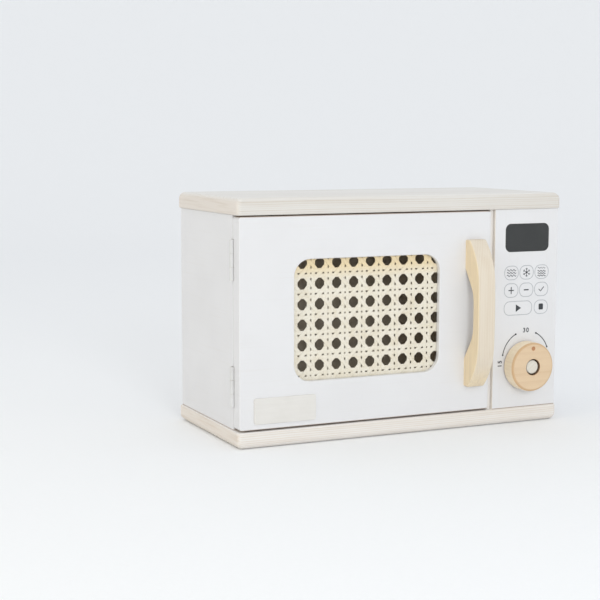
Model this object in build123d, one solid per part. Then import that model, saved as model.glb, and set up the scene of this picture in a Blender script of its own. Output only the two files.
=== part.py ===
from build123d import *

import math
import os

# A wooden toy microwave: two pine boards, painted uprights, a hinged door with a cane window, a dial and a
# turntable.
# Millimetres. The origin is under the middle of the bottom board, +X to the right, the door faces -Y, +Z up.

# The closed case over its painted sides, its two boards, and from the door's face to the back
BODY_WIDTH = 285.0
BODY_HEIGHT = 190.0
BODY_DEPTH = 125.0

# Pine boards
BOARD_THICKNESS = 13.0
BOARD_OVERHANG = 1.5
BOARD_CORNER_RADIUS = 3.5
BOARD_OUTER_ROUND = 5.5
BOARD_INNER_ROUND = 1.2

# Upright panels and the back
SIDE_THICKNESS = 12.0
DIVIDER_THICKNESS = 16.0
BACK_THICKNESS = 5.5
BACK_INSET = 0.5
BACK_LEDGE = 6.0
PANEL_EASE = 0.4
ASSEMBLY_GAP = 0.2
GLUE_GAP = 0.05

# Dowels between boards and uprights
DOWEL_DIAMETER = 6.0
DOWEL_IN_BOARD = 8.0
DOWEL_IN_PANEL = 12.0
DOWEL_END_SPACE = 0.5
DOWEL_FROM_EDGE = 24.0

# Control board on the right, and the door, which takes the rest of the width
FASCIA_WIDTH = 61.1
DOOR_THICKNESS = 12.0
DOOR_SETBACK = 0.3
DOOR_TOP_GAP = 0.85
DOOR_BOTTOM_GAP = 1.2
DOOR_REST_GAP = 0.35
DOOR_FASCIA_GAP = 4.0
DOOR_STOP_LAP = 7.8
DOOR_CORNER_RADIUS = 2.5
DOOR_EASE = 0.8

# Slip of wood on the divider's front edge, which shows between the door and the control board
SLIP_SETBACK = 3.0
SLIP_DOOR_GAP = 0.8
SLIP_EASE = 0.3

# Window in the door, set by the wood left round it, and the rebate behind it
WINDOW_FROM_HINGE_EDGE = 45.3
WINDOW_FROM_LATCH_EDGE = 47.0
WINDOW_FROM_DOOR_BOTTOM = 34.4
WINDOW_FROM_DOOR_TOP = 33.35
WINDOW_CORNER_RADIUS = 13.5
WINDOW_LIP = 4.0
REBATE_MARGIN = 9.5
REBATE_CORNER_RADIUS = 4.0

# Woven cane
CANE_THICKNESS = 1.2
CANE_PITCH_X = 14.67
CANE_PITCH_Z = 15.87
CANE_FIRST_COLUMN = 8.55
CANE_FIRST_ROW = 11.4
CANE_EDGE_GAP = 0.8
CANE_EYE_SHARE = 0.54
CANE_EYE_CORNER_SHARE = 0.34
CANE_SLIT_PLACE_SHARE = 0.21
CANE_SLIT_LENGTH_SHARE = 0.13
CANE_SLIT_WIDTH_SHARE = 0.09

# Frame strip that holds the cane, and its brads
FRAME_INSET = 0.4
FRAME_OPENING_MARGIN = 4.5
BRAD_DIAMETER = 1.3
BRAD_HEAD_DIAMETER = 2.4
BRAD_HEAD_HEIGHT = 0.6
BRAD_POINT_COVER = 1.2
BRAD_PLACE_SHARES = (0.08, 0.5, 0.92)

# Plate on the door
PLAQUE_WIDTH = 51.6
PLAQUE_HEIGHT = 20.0
PLAQUE_THICKNESS = 1.0
PLAQUE_CORNER_RADIUS = 1.8
PLAQUE_FROM_HINGE_EDGE = 11.7
PLAQUE_FROM_DOOR_BOTTOM = 4.3
PLAQUE_EASE = 0.3

# Handle
HANDLE_LENGTH = 119.0
HANDLE_WIDTH = 15.8
HANDLE_REACH = 21.0
HANDLE_CROWN_LENGTH = 50.0
HANDLE_CROWN_DROP = 0.5
HANDLE_END_DEPTH = 5.5
HANDLE_BOW_THICKNESS = 8.8
HANDLE_FOOT_LENGTH = 24.5
HANDLE_SLOPE_LENGTH = 18.0
HANDLE_END_ROUND = 2.0
HANDLE_BOW_ROUND = 24.0
HANDLE_EASE = 1.3
HANDLE_FROM_DOOR_EDGE = 7.6
HANDLE_BELOW_DOOR_MIDDLE = 1.1

# Hinges
HINGE_LENGTH = 31.0
HINGE_BARREL_DIAMETER = 3.6
HINGE_PIN_DIAMETER = 1.8
HINGE_AXIS_OUTSIDE = 0.7
HINGE_LEAF_WIDTH = 10.0
HINGE_LEAF_THICKNESS = 0.9
HINGE_LEAF_GAP = 0.2
HINGE_KNUCKLE_GAP = 0.2
HINGE_BARREL_CLEARANCE = 0.3
HINGE_PIN_CLEARANCE = 0.05
UPPER_HINGE_FROM_DOOR_TOP = 17.45
LOWER_HINGE_FROM_DOOR_BOTTOM = 16.9

# Screws: head and shank diameters, and lengths
HINGE_SCREW_HEAD = 3.8
HINGE_SCREW_SHANK = 2.0
HINGE_SCREW_LENGTH = 9.0
HINGE_SCREW_FROM_END = 7.0
BACK_SCREW_HEAD = 4.6
BACK_SCREW_SHANK = 2.5
BACK_SCREW_LENGTH = 16.0
BACK_SCREW_FROM_END = 22.0
HANDLE_SCREW_HEAD = 6.6
HANDLE_SCREW_SHANK = 3.4
HANDLE_SCREW_LENGTH = 20.0
SCREW_HEAD_INSET = 0.05
CROSS_SLOT_WIDTH_SHARE = 0.17
CROSS_SLOT_LENGTH_SHARE = 0.62
CROSS_SLOT_DEPTH_SHARE = 0.55

# Magnets that hold the door shut
MAGNET_DIAMETER = 5.0
MAGNET_THICKNESS = 3.0
MAGNET_INSET = 0.1
MAGNET_PLACE_SHARES = (0.25, 0.75)

# Display
DISPLAY_WIDTH = 42.0
DISPLAY_HEIGHT = 23.0
DISPLAY_CORNER_RADIUS = 5.0
DISPLAY_THICKNESS = 0.8
DISPLAY_FROM_RIGHT = 8.9
DISPLAY_FROM_TOP = 11.9

# Dial
DIAL_DIAMETER = 40.4
DIAL_DEPTH = 12.5
DIAL_FRONT_ROUND = 2.6
DIAL_BACK_ROUND = 0.8
DIAL_FROM_FASCIA_BOTTOM = 35.1
DIAL_WELL_DIAMETER = 13.2
DIAL_WELL_DEPTH = 5.2
DIAL_WELL_ROUND = 0.5
DIMPLE_DIAMETER = 3.6
DIMPLE_DEPTH = 1.3
DIMPLE_FROM_CENTRE = 15.4
AXLE_DIAMETER = 8.0
AXLE_HEAD_DIAMETER = 11.2
AXLE_HEAD_HEIGHT = 4.0
AXLE_HEAD_ROUND = 0.8
AXLE_TAIL = 7.0
FELT_DIAMETER = 24.0
FELT_THICKNESS = 0.6
FELT_GAP = 0.2
WASHER_DIAMETER = 16.0
WASHER_THICKNESS = 1.5
WASHER_GAP = 0.3
CROSS_PIN_DIAMETER = 2.0
CROSS_PIN_LENGTH = 14.0
RUNNING_CLEARANCE = 0.08

# Turntable
TURNTABLE_WALL_SPACE = 4.7
TURNTABLE_THICKNESS = 8.0
TURNTABLE_RIM_WIDTH = 6.0
TURNTABLE_DISH_DEPTH = 1.6
TURNTABLE_ROUND = 1.5
TURNTABLE_GAP = 0.3
TURNTABLE_WASHER_DIAMETER = 20.0
TURNTABLE_WASHER_THICKNESS = 1.6
SPINDLE_DIAMETER = 8.0
SPINDLE_IN_BOARD = 9.0
SPINDLE_HEAD_DIAMETER = 14.0
SPINDLE_HEAD_HEIGHT = 4.0

# How far a cutting shape runs past the surface that it opens, and how near counts as the same place
OVERRUN = 1.0
SAME_PLACE = 0.01

# Planes that the pieces share
left = -BODY_WIDTH / 2
right = BODY_WIDTH / 2
board_depth = BODY_DEPTH + BOARD_OVERHANG
back = board_depth / 2
face = back - BODY_DEPTH
floor = BOARD_THICKNESS
ceiling = BODY_HEIGHT - BOARD_THICKNESS
panel_front = face + DOOR_THICKNESS + DOOR_REST_GAP
back_panel_rear = back - BACK_INSET
back_panel_front = back_panel_rear - BACK_THICKNESS

# Door and fascia edges
door_left = left + DOOR_SETBACK
fascia_left = right - FASCIA_WIDTH
door_right = fascia_left - DOOR_FASCIA_GAP
door_bottom = floor + DOOR_BOTTOM_GAP
door_top = ceiling - DOOR_TOP_GAP
door_rear = face + DOOR_THICKNESS
fascia_middle = (fascia_left + right) / 2
divider_left = door_right - DOOR_STOP_LAP
divider_right = divider_left + DIVIDER_THICKNESS
cavity_left = left + SIDE_THICKNESS

# Window places
window_left = door_left + WINDOW_FROM_HINGE_EDGE
window_right = door_right - WINDOW_FROM_LATCH_EDGE
window_bottom = door_bottom + WINDOW_FROM_DOOR_BOTTOM
window_top = door_top - WINDOW_FROM_DOOR_TOP
window_width = window_right - window_left
window_height = window_top - window_bottom
window_middle = ((window_left + window_right) / 2, (window_bottom + window_top) / 2)
rebate_width = window_width + 2 * REBATE_MARGIN
rebate_height = window_height + 2 * REBATE_MARGIN
cane_front = face + WINDOW_LIP
frame_front = cane_front + CANE_THICKNESS
frame_rear = door_rear - FRAME_INSET

# Hinge places
hinge_x = left - HINGE_AXIS_OUTSIDE
hinge_y = (door_rear + panel_front) / 2
hinge_bottoms = {
    "upper": door_top - UPPER_HINGE_FROM_DOOR_TOP - HINGE_LENGTH,
    "lower": door_bottom + LOWER_HINGE_FROM_DOOR_BOTTOM,
}
knuckle_length = (HINGE_LENGTH - 2 * HINGE_KNUCKLE_GAP) / 3
knuckle_step = knuckle_length + HINGE_KNUCKLE_GAP
barrel_clear = HINGE_BARREL_DIAMETER / 2 + HINGE_BARREL_CLEARANCE
leaf_start = hinge_x + barrel_clear
leaf_end = hinge_x + HINGE_LEAF_WIDTH

# Dial and turntable places
dial_z = floor + DIAL_FROM_FASCIA_BOTTOM
dial_rear = face - FELT_THICKNESS - FELT_GAP
dial_front = dial_rear - DIAL_DEPTH
axle_head_rear = dial_front + DIAL_WELL_DEPTH
axle_end = panel_front + AXLE_TAIL
cavity_width = divider_left - cavity_left
cavity_depth = back_panel_front - panel_front
turntable_diameter = min(cavity_width, cavity_depth) - 2 * TURNTABLE_WALL_SPACE
turntable_x = (cavity_left + divider_left) / 2
turntable_y = (panel_front + back_panel_front) / 2
turntable_bottom = floor + TURNTABLE_WASHER_THICKNESS + TURNTABLE_GAP

# Turns that lay a part made along Z so that its top looks to the front or to the back
LOOK_FRONT = Rot(90, 0, 0)
LOOK_BACK = Rot(-90, 0, 0)


def block(x, y, z):
    """A box between two values along each axis."""
    size = Box(x[1] - x[0], y[1] - y[0], z[1] - z[0])
    return Pos((x[0] + x[1]) / 2, (y[0] + y[1]) / 2, (z[0] + z[1]) / 2) * size


def slab(outline, front, rear):
    """An outline drawn in x and z, made solid from its front plane to its rear plane."""
    return Pos(0, front, 0) * extrude(Plane.XZ * outline, amount=front - rear)


def rod_y(x, z, diameter, front, rear):
    """A round bar that runs from front to back."""
    return slab(Pos(x, z) * Circle(diameter / 2), front, rear)


def rod_z(x, y, diameter, bottom, top):
    """A round bar that stands upright."""
    return Pos(x, y, (bottom + top) / 2) * Cylinder(diameter / 2, top - bottom)


def turned(points):
    """A solid of revolution about Z from an outline given as radius and height."""
    return revolve(Plane.XZ * make_face(Polyline(*points, close=True)), Axis.Z)


def joined(shapes):
    """One solid from several that touch."""
    whole = shapes[0]
    for shape in shapes[1:]:
        whole += shape
    return whole


def group(shapes):
    """Several equal pieces kept apart in one node."""
    return Compound(children=[shape.solid() for shape in shapes])


def screw(head, shank, length):
    """A countersunk wood screw with a cross slot, its head's face at the origin and its point down."""
    cone = (head - shank) / 2
    body = turned([(0, 0), (head / 2, 0), (shank / 2, -cone), (shank / 2, shank - length), (0, -length)])
    slot_depth = 2 * cone * CROSS_SLOT_DEPTH_SHARE
    arm = Box(head * CROSS_SLOT_LENGTH_SHARE, head * CROSS_SLOT_WIDTH_SHARE, slot_depth)
    return body - arm - Rot(0, 0, 90) * arm


def screw_hollow(head, shank, length):
    """The hole that such a screw fills, with a glue gap round it, open above the head."""
    cone = (head - shank) / 2
    wide = head / 2 + GLUE_GAP
    narrow = shank / 2 + GLUE_GAP
    end = -length - GLUE_GAP
    return turned([(0, OVERRUN), (wide, OVERRUN), (wide, 0), (narrow, -cone), (narrow, end), (0, end)])


def board(bottom, top, outer_is_top):
    """A pine board: front corners rounded in plan, and a large round along its outer edge on three sides."""
    half_width = BODY_WIDTH / 2 + BOARD_OVERHANG
    plank = block((-half_width, half_width), (-back, back), (bottom, top))
    corners = plank.edges().filter_by(Axis.Z).group_by(Axis.Y)[0]
    plank = fillet(corners, BOARD_CORNER_RADIUS)
    for is_top, radius in ((outer_is_top, BOARD_OUTER_ROUND), (not outer_is_top, BOARD_INNER_ROUND)):
        rim = plank.edges().group_by(Axis.Z)[-1 if is_top else 0]
        rim = rim.filter_by_position(Axis.Y, -back - OVERRUN, back - SAME_PLACE)
        plank = fillet(rim, radius)
    return plank


def dowel_places():
    """Middle lines of the dowels: two in each upright."""
    uprights = (left + SIDE_THICKNESS / 2, (divider_left + divider_right) / 2, right - SIDE_THICKNESS / 2)
    depths = (panel_front + DOWEL_FROM_EDGE, back_panel_front - DOWEL_FROM_EDGE)
    return [(x, y) for x in uprights for y in depths]


def dowel_ends():
    """Lower and upper end of every dowel, at the floor joint and at the ceiling joint."""
    return (
        (floor - DOWEL_IN_BOARD, floor + DOWEL_IN_PANEL),
        (ceiling - DOWEL_IN_PANEL, ceiling + DOWEL_IN_BOARD),
    )


def dowel_holes():
    """Drilled holes for all dowels, a little wider and longer than the dowels."""
    wide = DOWEL_DIAMETER + 2 * GLUE_GAP
    return [
        rod_z(x, y, wide, low - DOWEL_END_SPACE, high + DOWEL_END_SPACE)
        for x, y in dowel_places()
        for low, high in dowel_ends()
    ]


def carcass_dowels():
    pins = []
    for x, y in dowel_places():
        for low, high in dowel_ends():
            pins.append(rod_z(x, y, DOWEL_DIAMETER, low, high))
    return group(pins)


def bottom_board():
    spindle_hole = rod_z(
        turntable_x, turntable_y, SPINDLE_DIAMETER + 2 * GLUE_GAP, floor - SPINDLE_IN_BOARD, floor + OVERRUN
    )
    return board(0, floor, False) - dowel_holes() - spindle_hole


def top_board():
    return board(ceiling, BODY_HEIGHT, True) - dowel_holes()


def back_screw_places():
    """Screws down both side ledges and the divider, at two heights, and once more halfway on the ledges."""
    low = floor + BACK_SCREW_FROM_END
    high = ceiling - BACK_SCREW_FROM_END
    ledges = (left + SIDE_THICKNESS - BACK_LEDGE / 2, right - SIDE_THICKNESS + BACK_LEDGE / 2)
    places = [(x, z) for x in ledges for z in (low, (low + high) / 2, high)]
    divider_middle = (divider_left + divider_right) / 2
    return places + [(divider_middle, low), (divider_middle, high)]


def back_screw_hollows():
    hollow = LOOK_BACK * screw_hollow(BACK_SCREW_HEAD, BACK_SCREW_SHANK, BACK_SCREW_LENGTH)
    return [Pos(x, back_panel_rear - SCREW_HEAD_INSET, z) * hollow for x, z in back_screw_places()]


def back_panel_screws():
    one = LOOK_BACK * screw(BACK_SCREW_HEAD, BACK_SCREW_SHANK, BACK_SCREW_LENGTH)
    return group([Pos(x, back_panel_rear - SCREW_HEAD_INSET, z) * one for x, z in back_screw_places()])


def upright(outer, inner):
    """A side panel between the boards, eased round its outer face, with a ledge for the back panel."""
    towards_inside = math.copysign(1, inner - outer)
    panel = block(sorted((outer, inner)), (panel_front, back), (floor, ceiling))
    outer_face = panel.faces().sort_by(Axis.X)[0 if outer < inner else -1]
    panel = fillet(outer_face.edges(), PANEL_EASE)
    ledge = inner - towards_inside * BACK_LEDGE
    rebate = block(
        sorted((ledge, inner + towards_inside * OVERRUN)),
        (back_panel_front, back + OVERRUN),
        (floor - OVERRUN, ceiling + OVERRUN),
    )
    return panel - rebate - dowel_holes() - back_screw_hollows()


def hinge_gain(bottom, panel_side):
    """The cut in a panel edge for one hinge leaf and its barrel. panel_side is 1 behind, -1 in front."""
    deep = hinge_y + panel_side * (HINGE_LEAF_GAP / 2 + HINGE_LEAF_THICKNESS)
    low = bottom - ASSEMBLY_GAP
    high = bottom + HINGE_LENGTH + ASSEMBLY_GAP
    bed = block((hinge_x, leaf_end + ASSEMBLY_GAP), sorted((hinge_y, deep)), (low, high))
    return bed + rod_z(hinge_x, hinge_y, 2 * barrel_clear, low, high)


def leaf_screw_places(bottom):
    x = (leaf_start + leaf_end) / 2
    return [(x, bottom + HINGE_SCREW_FROM_END), (x, bottom + HINGE_LENGTH - HINGE_SCREW_FROM_END)]


def leaf_screw_turn(panel_side):
    return LOOK_FRONT if panel_side > 0 else LOOK_BACK


def leaf_screw_face(panel_side):
    """Where the screw heads' faces lie, just under the leaf's inner face."""
    return hinge_y + panel_side * (HINGE_LEAF_GAP / 2 + SCREW_HEAD_INSET)


def leaf_screw_hollows(bottom, panel_side):
    one = screw_hollow(HINGE_SCREW_HEAD, HINGE_SCREW_SHANK, HINGE_SCREW_LENGTH)
    hollow = leaf_screw_turn(panel_side) * one
    y = leaf_screw_face(panel_side)
    return [Pos(x, y, z) * hollow for x, z in leaf_screw_places(bottom)]


def leaf_screws(panel_side):
    one = leaf_screw_turn(panel_side) * screw(HINGE_SCREW_HEAD, HINGE_SCREW_SHANK, HINGE_SCREW_LENGTH)
    y = leaf_screw_face(panel_side)
    places = [place for bottom in hinge_bottoms.values() for place in leaf_screw_places(bottom)]
    return group([Pos(x, y, z) * one for x, z in places])


def hinge_leaf(bottom, panel_side):
    """One leaf: the case leaf (1) carries the two end knuckles, the door leaf (-1) the middle one."""
    inner = hinge_y + panel_side * HINGE_LEAF_GAP / 2
    outer = inner + panel_side * HINGE_LEAF_THICKNESS
    thickness = sorted((inner, outer))
    shapes = [block((leaf_start, leaf_end), thickness, (bottom, bottom + HINGE_LENGTH))]
    for knuckle in (0, 2) if panel_side > 0 else (1,):
        low = bottom + knuckle * knuckle_step
        high = low + knuckle_length
        shapes.append(block((hinge_x, leaf_start), thickness, (low, high)))
        shapes.append(rod_z(hinge_x, hinge_y, HINGE_BARREL_DIAMETER, low, high))
    bore = HINGE_PIN_DIAMETER + 2 * HINGE_PIN_CLEARANCE
    hole = rod_z(hinge_x, hinge_y, bore, bottom - OVERRUN, bottom + HINGE_LENGTH + OVERRUN)
    return joined(shapes) - hole - leaf_screw_hollows(bottom, panel_side)


def hinge_pin(bottom):
    return rod_z(hinge_x, hinge_y, HINGE_PIN_DIAMETER, bottom, bottom + HINGE_LENGTH)


def left_side_panel():
    panel = upright(left, left + SIDE_THICKNESS)
    for bottom in hinge_bottoms.values():
        panel -= [hinge_gain(bottom, 1), *leaf_screw_hollows(bottom, 1)]
    return panel


def right_side_panel():
    return upright(right, right - SIDE_THICKNESS)


def magnet_places():
    x = (divider_left + door_right) / 2
    return [(x, door_bottom + share * (door_top - door_bottom)) for share in MAGNET_PLACE_SHARES]


def magnets(front, rear, gap):
    """Round magnets, or with a gap their pockets. A magnet has a half turn, so its seam isn't the pocket's."""
    turn = Rot(0, 0, 0) if gap else Rot(0, 0, 180)
    disc = turn * Circle(MAGNET_DIAMETER / 2 + gap)
    return [slab(Pos(x, z) * disc, front, rear) for x, z in magnet_places()]


def catch_magnets():
    front = panel_front + MAGNET_INSET
    return group(magnets(front, front + MAGNET_THICKNESS, 0))


def door_magnets():
    rear = door_rear - MAGNET_INSET
    return group(magnets(rear - MAGNET_THICKNESS, rear, 0))


def divider_panel():
    panel = block((divider_left, divider_right), (panel_front, back_panel_front), (floor, ceiling))
    pocket_end = panel_front + MAGNET_INSET + MAGNET_THICKNESS + GLUE_GAP
    pockets = magnets(panel_front - OVERRUN, pocket_end, GLUE_GAP)
    return panel - dowel_holes() - pockets - back_screw_hollows()


def divider_slip():
    """A slip of wood glued to the divider's front edge, with room beside it for the door to swing."""
    across = (door_right + SLIP_DOOR_GAP, fascia_left - GLUE_GAP)
    slip = block(across, (face + SLIP_SETBACK, panel_front), (floor, ceiling))
    front_edges = slip.edges().filter_by(Axis.Z).group_by(Axis.Y)[0]
    return fillet(front_edges, SLIP_EASE)


def back_panel():
    ledge = SIDE_THICKNESS - BACK_LEDGE + ASSEMBLY_GAP
    sheet = block(
        (left + ledge, right - ledge),
        (back_panel_front, back_panel_rear),
        (floor + ASSEMBLY_GAP, ceiling - ASSEMBLY_GAP),
    )
    return sheet - back_screw_hollows()


def display_outline(gap):
    x = right - DISPLAY_FROM_RIGHT - DISPLAY_WIDTH / 2
    z = ceiling - DISPLAY_FROM_TOP - DISPLAY_HEIGHT / 2
    rounded = RectangleRounded(DISPLAY_WIDTH + 2 * gap, DISPLAY_HEIGHT + 2 * gap, DISPLAY_CORNER_RADIUS + gap)
    return Pos(x, z) * rounded


def display_screen():
    return slab(display_outline(0), face, face + DISPLAY_THICKNESS)


def control_fascia():
    plate = block((fascia_left, right), (face, panel_front), (floor, ceiling))
    plate = fillet(plate.faces().sort_by(Axis.Y)[0].edges(), PANEL_EASE)
    recess = slab(display_outline(GLUE_GAP), face - OVERRUN, face + DISPLAY_THICKNESS)
    bore = AXLE_DIAMETER + 2 * RUNNING_CLEARANCE
    return plate - recess - rod_y(fascia_middle, dial_z, bore, face - OVERRUN, panel_front + OVERRUN)


def window_outline():
    return Pos(*window_middle) * RectangleRounded(window_width, window_height, WINDOW_CORNER_RADIUS)


def frame_opening():
    """The frame strip's opening, so much wider than the window that its edge stays hidden behind the lip."""
    width = window_width + 2 * FRAME_OPENING_MARGIN
    height = window_height + 2 * FRAME_OPENING_MARGIN
    return Pos(*window_middle) * RectangleRounded(width, height, WINDOW_CORNER_RADIUS + FRAME_OPENING_MARGIN)


def rebate_outline(gap):
    """The rebate behind the window, made smaller all round by a gap for what lies in it."""
    rounded = RectangleRounded(rebate_width - 2 * gap, rebate_height - 2 * gap, REBATE_CORNER_RADIUS - gap)
    return Pos(*window_middle) * rounded


def brad_places():
    """Brads in the middle of the frame strip: three along the top and the bottom, and one on each side."""
    width = window_width + REBATE_MARGIN + FRAME_OPENING_MARGIN
    height = window_height + REBATE_MARGIN + FRAME_OPENING_MARGIN
    x0 = window_middle[0] - width / 2
    z0 = window_middle[1] - height / 2
    rows = [(x0 + share * width, z) for z in (z0, z0 + height) for share in BRAD_PLACE_SHARES]
    return rows + [(x0, window_middle[1]), (x0 + width, window_middle[1])]


def brads(gap, head_clearance):
    """Small nails from the frame's rear face into the window's lip, or their holes."""
    tip = face + BRAD_POINT_COVER - gap
    head_front = frame_rear - BRAD_HEAD_HEIGHT
    end = frame_rear + head_clearance
    shapes = []
    for x, z in brad_places():
        shank = rod_y(x, z, BRAD_DIAMETER + 2 * gap, tip, end)
        head = rod_y(x, z, BRAD_HEAD_DIAMETER + 2 * gap, head_front, end)
        shapes.append(shank + head)
    return shapes


def handle_middle():
    x = door_right - HANDLE_FROM_DOOR_EDGE - HANDLE_WIDTH / 2
    z = (door_bottom + door_top) / 2 - HANDLE_BELOW_DOOR_MIDDLE
    return x, z


def handle_screw_shapes(make):
    """Screws from inside the door into the middle of each handle foot, made by the given function."""
    x, z = handle_middle()
    reach = (HANDLE_LENGTH - HANDLE_FOOT_LENGTH) / 2
    one = LOOK_BACK * make(HANDLE_SCREW_HEAD, HANDLE_SCREW_SHANK, HANDLE_SCREW_LENGTH)
    return [Pos(x, door_rear - SCREW_HEAD_INSET, place) * one for place in (z - reach, z + reach)]


def handle_screws():
    return group(handle_screw_shapes(screw))


def door_panel():
    width = door_right - door_left
    height = door_top - door_bottom
    middle = Pos((door_left + door_right) / 2, (door_bottom + door_top) / 2)
    outline = middle * RectangleRounded(width, height, DOOR_CORNER_RADIUS)
    panel = slab(outline - window_outline(), face, door_rear)
    panel = fillet(panel.faces().sort_by(Axis.Y)[0].edges(), DOOR_EASE)
    panel -= slab(rebate_outline(0), cane_front, door_rear + OVERRUN)
    for bottom in hinge_bottoms.values():
        panel -= [hinge_gain(bottom, -1), *leaf_screw_hollows(bottom, -1)]
    pocket_end = door_rear - MAGNET_INSET - MAGNET_THICKNESS - GLUE_GAP
    pockets = magnets(pocket_end, door_rear + OVERRUN, GLUE_GAP)
    return panel - pockets - brads(GLUE_GAP, OVERRUN) - handle_screw_shapes(screw_hollow)


def cane_eye():
    """An eight-sided eye: its share of the two pitches, with the corners cut by the slanted strands."""
    half_x = CANE_PITCH_X * CANE_EYE_SHARE / 2
    half_z = CANE_PITCH_Z * CANE_EYE_SHARE / 2
    flat_x = half_x * (1 - 2 * CANE_EYE_CORNER_SHARE)
    flat_z = half_z * (1 - 2 * CANE_EYE_CORNER_SHARE)
    quarter = [(half_x, flat_z), (flat_x, half_z)]
    right_side = [(x, -z) for x, z in reversed(quarter)] + quarter
    left_side = [(-x, -z) for x, z in right_side]
    return make_face(Polyline(*right_side, *left_side, close=True))


def cane_slits():
    """Four small slits between paired strands round one eye: two on its left line, two on its lower line."""
    long_x = CANE_PITCH_X * CANE_SLIT_LENGTH_SHARE
    wide_x = CANE_PITCH_X * CANE_SLIT_WIDTH_SHARE
    long_z = CANE_PITCH_Z * CANE_SLIT_LENGTH_SHARE
    wide_z = CANE_PITCH_Z * CANE_SLIT_WIDTH_SHARE
    places = (-CANE_SLIT_PLACE_SHARE, CANE_SLIT_PLACE_SHARE)
    on_left = [Pos(-CANE_PITCH_X / 2, share * CANE_PITCH_Z) * Rectangle(wide_x, long_z) for share in places]
    below = [Pos(share * CANE_PITCH_X, -CANE_PITCH_Z / 2) * Rectangle(long_x, wide_z) for share in places]
    return on_left + below


def cane_webbing():
    """The flat net: eyes and slits on the weave's grid, as far as the window shows it."""
    columns = int((window_width - CANE_FIRST_COLUMN) // CANE_PITCH_X) + 1
    rows = int((window_height - CANE_FIRST_ROW) // CANE_PITCH_Z) + 1
    first = Pos(window_left + CANE_FIRST_COLUMN, window_bottom + CANE_FIRST_ROW)
    gaps = [cane_eye(), *cane_slits()]
    holes = []
    for column in range(columns):
        for row in range(rows):
            place = first * Pos(column * CANE_PITCH_X, row * CANE_PITCH_Z)
            holes += [place * gap for gap in gaps]
    holes += [Pos(x, z) * Circle(BRAD_DIAMETER / 2 + GLUE_GAP) for x, z in brad_places()]
    net = slab(rebate_outline(CANE_EDGE_GAP) - holes, cane_front, frame_front)
    print("cane gaps", len(holes))
    return net


def cane_retaining_frame():
    ring = slab(rebate_outline(ASSEMBLY_GAP) - frame_opening(), frame_front, frame_rear)
    return ring - brads(GLUE_GAP, OVERRUN)


def retaining_frame_pins():
    return group(brads(0, 0))


def door_plaque():
    x = door_left + PLAQUE_FROM_HINGE_EDGE + PLAQUE_WIDTH / 2
    z = door_bottom + PLAQUE_FROM_DOOR_BOTTOM + PLAQUE_HEIGHT / 2
    outline = Pos(x, z) * RectangleRounded(PLAQUE_WIDTH, PLAQUE_HEIGHT, PLAQUE_CORNER_RADIUS)
    plate = slab(outline, face - PLAQUE_THICKNESS, face)
    return fillet(plate.faces().sort_by(Axis.Y)[0].edges(), PLAQUE_EASE)


def arc_radius(sagitta, half_chord):
    return (half_chord**2 + sagitta**2) / (2 * sagitta)


def handle_side_outline():
    """The handle from the side: a slightly bowed crown that falls to the ends, two feet, a finger gap."""
    middle = handle_middle()[1]
    half = HANDLE_LENGTH / 2
    crown_half = HANDLE_CROWN_LENGTH / 2
    inner_radius = arc_radius(HANDLE_CROWN_DROP, crown_half) - HANDLE_BOW_THICKNESS
    inner_reach = HANDLE_REACH - HANDLE_BOW_THICKNESS
    gap_half = half - HANDLE_FOOT_LENGTH
    bow_half = gap_half - HANDLE_SLOPE_LENGTH
    bow_end_reach = inner_reach - inner_radius + math.sqrt(inner_radius**2 - bow_half**2)
    lower_end = (face - HANDLE_END_DEPTH, middle - half)
    upper_end = (face - HANDLE_END_DEPTH, middle + half)
    lower_crown = (face - HANDLE_REACH + HANDLE_CROWN_DROP, middle - crown_half)
    upper_crown = (face - HANDLE_REACH + HANDLE_CROWN_DROP, middle + crown_half)
    upper_bow = (face - bow_end_reach, middle + bow_half)
    lower_bow = (face - bow_end_reach, middle - bow_half)
    upper_foot = (face, middle + gap_half)
    lower_foot = (face, middle - gap_half)
    crown = ThreePointArc(lower_crown, (face - HANDLE_REACH, middle), upper_crown)
    lines = [
        TangentArc(lower_crown, lower_end, tangent=-(crown % 0)),
        crown,
        TangentArc(upper_crown, upper_end, tangent=crown % 1),
        Polyline(upper_end, (face, middle + half), upper_foot, upper_bow),
        ThreePointArc(upper_bow, (face - inner_reach, middle), lower_bow),
        Polyline(lower_bow, lower_foot, (face, middle - half), lower_end),
    ]
    outline = make_face(lines)
    rounds = ((lower_end, HANDLE_END_ROUND), (upper_end, HANDLE_END_ROUND))
    rounds += ((upper_bow, HANDLE_BOW_ROUND), (lower_bow, HANDLE_BOW_ROUND))
    for place, radius in rounds:
        corner = outline.vertices().sort_by_distance((*place, 0))[0]
        outline = fillet(corner, radius)
    return outline


def door_handle():
    x = handle_middle()[0]
    bar = Pos(x - HANDLE_WIDTH / 2, 0, 0) * extrude(Plane.YZ * handle_side_outline(), amount=HANDLE_WIDTH)
    sides = bar.faces().filter_by(Axis.X)
    edges = sides.edges().filter_by_position(Axis.Y, face - HANDLE_REACH - OVERRUN, face - SAME_PLACE)
    bar = fillet(edges, HANDLE_EASE)
    return bar - handle_screw_shapes(screw_hollow)


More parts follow.
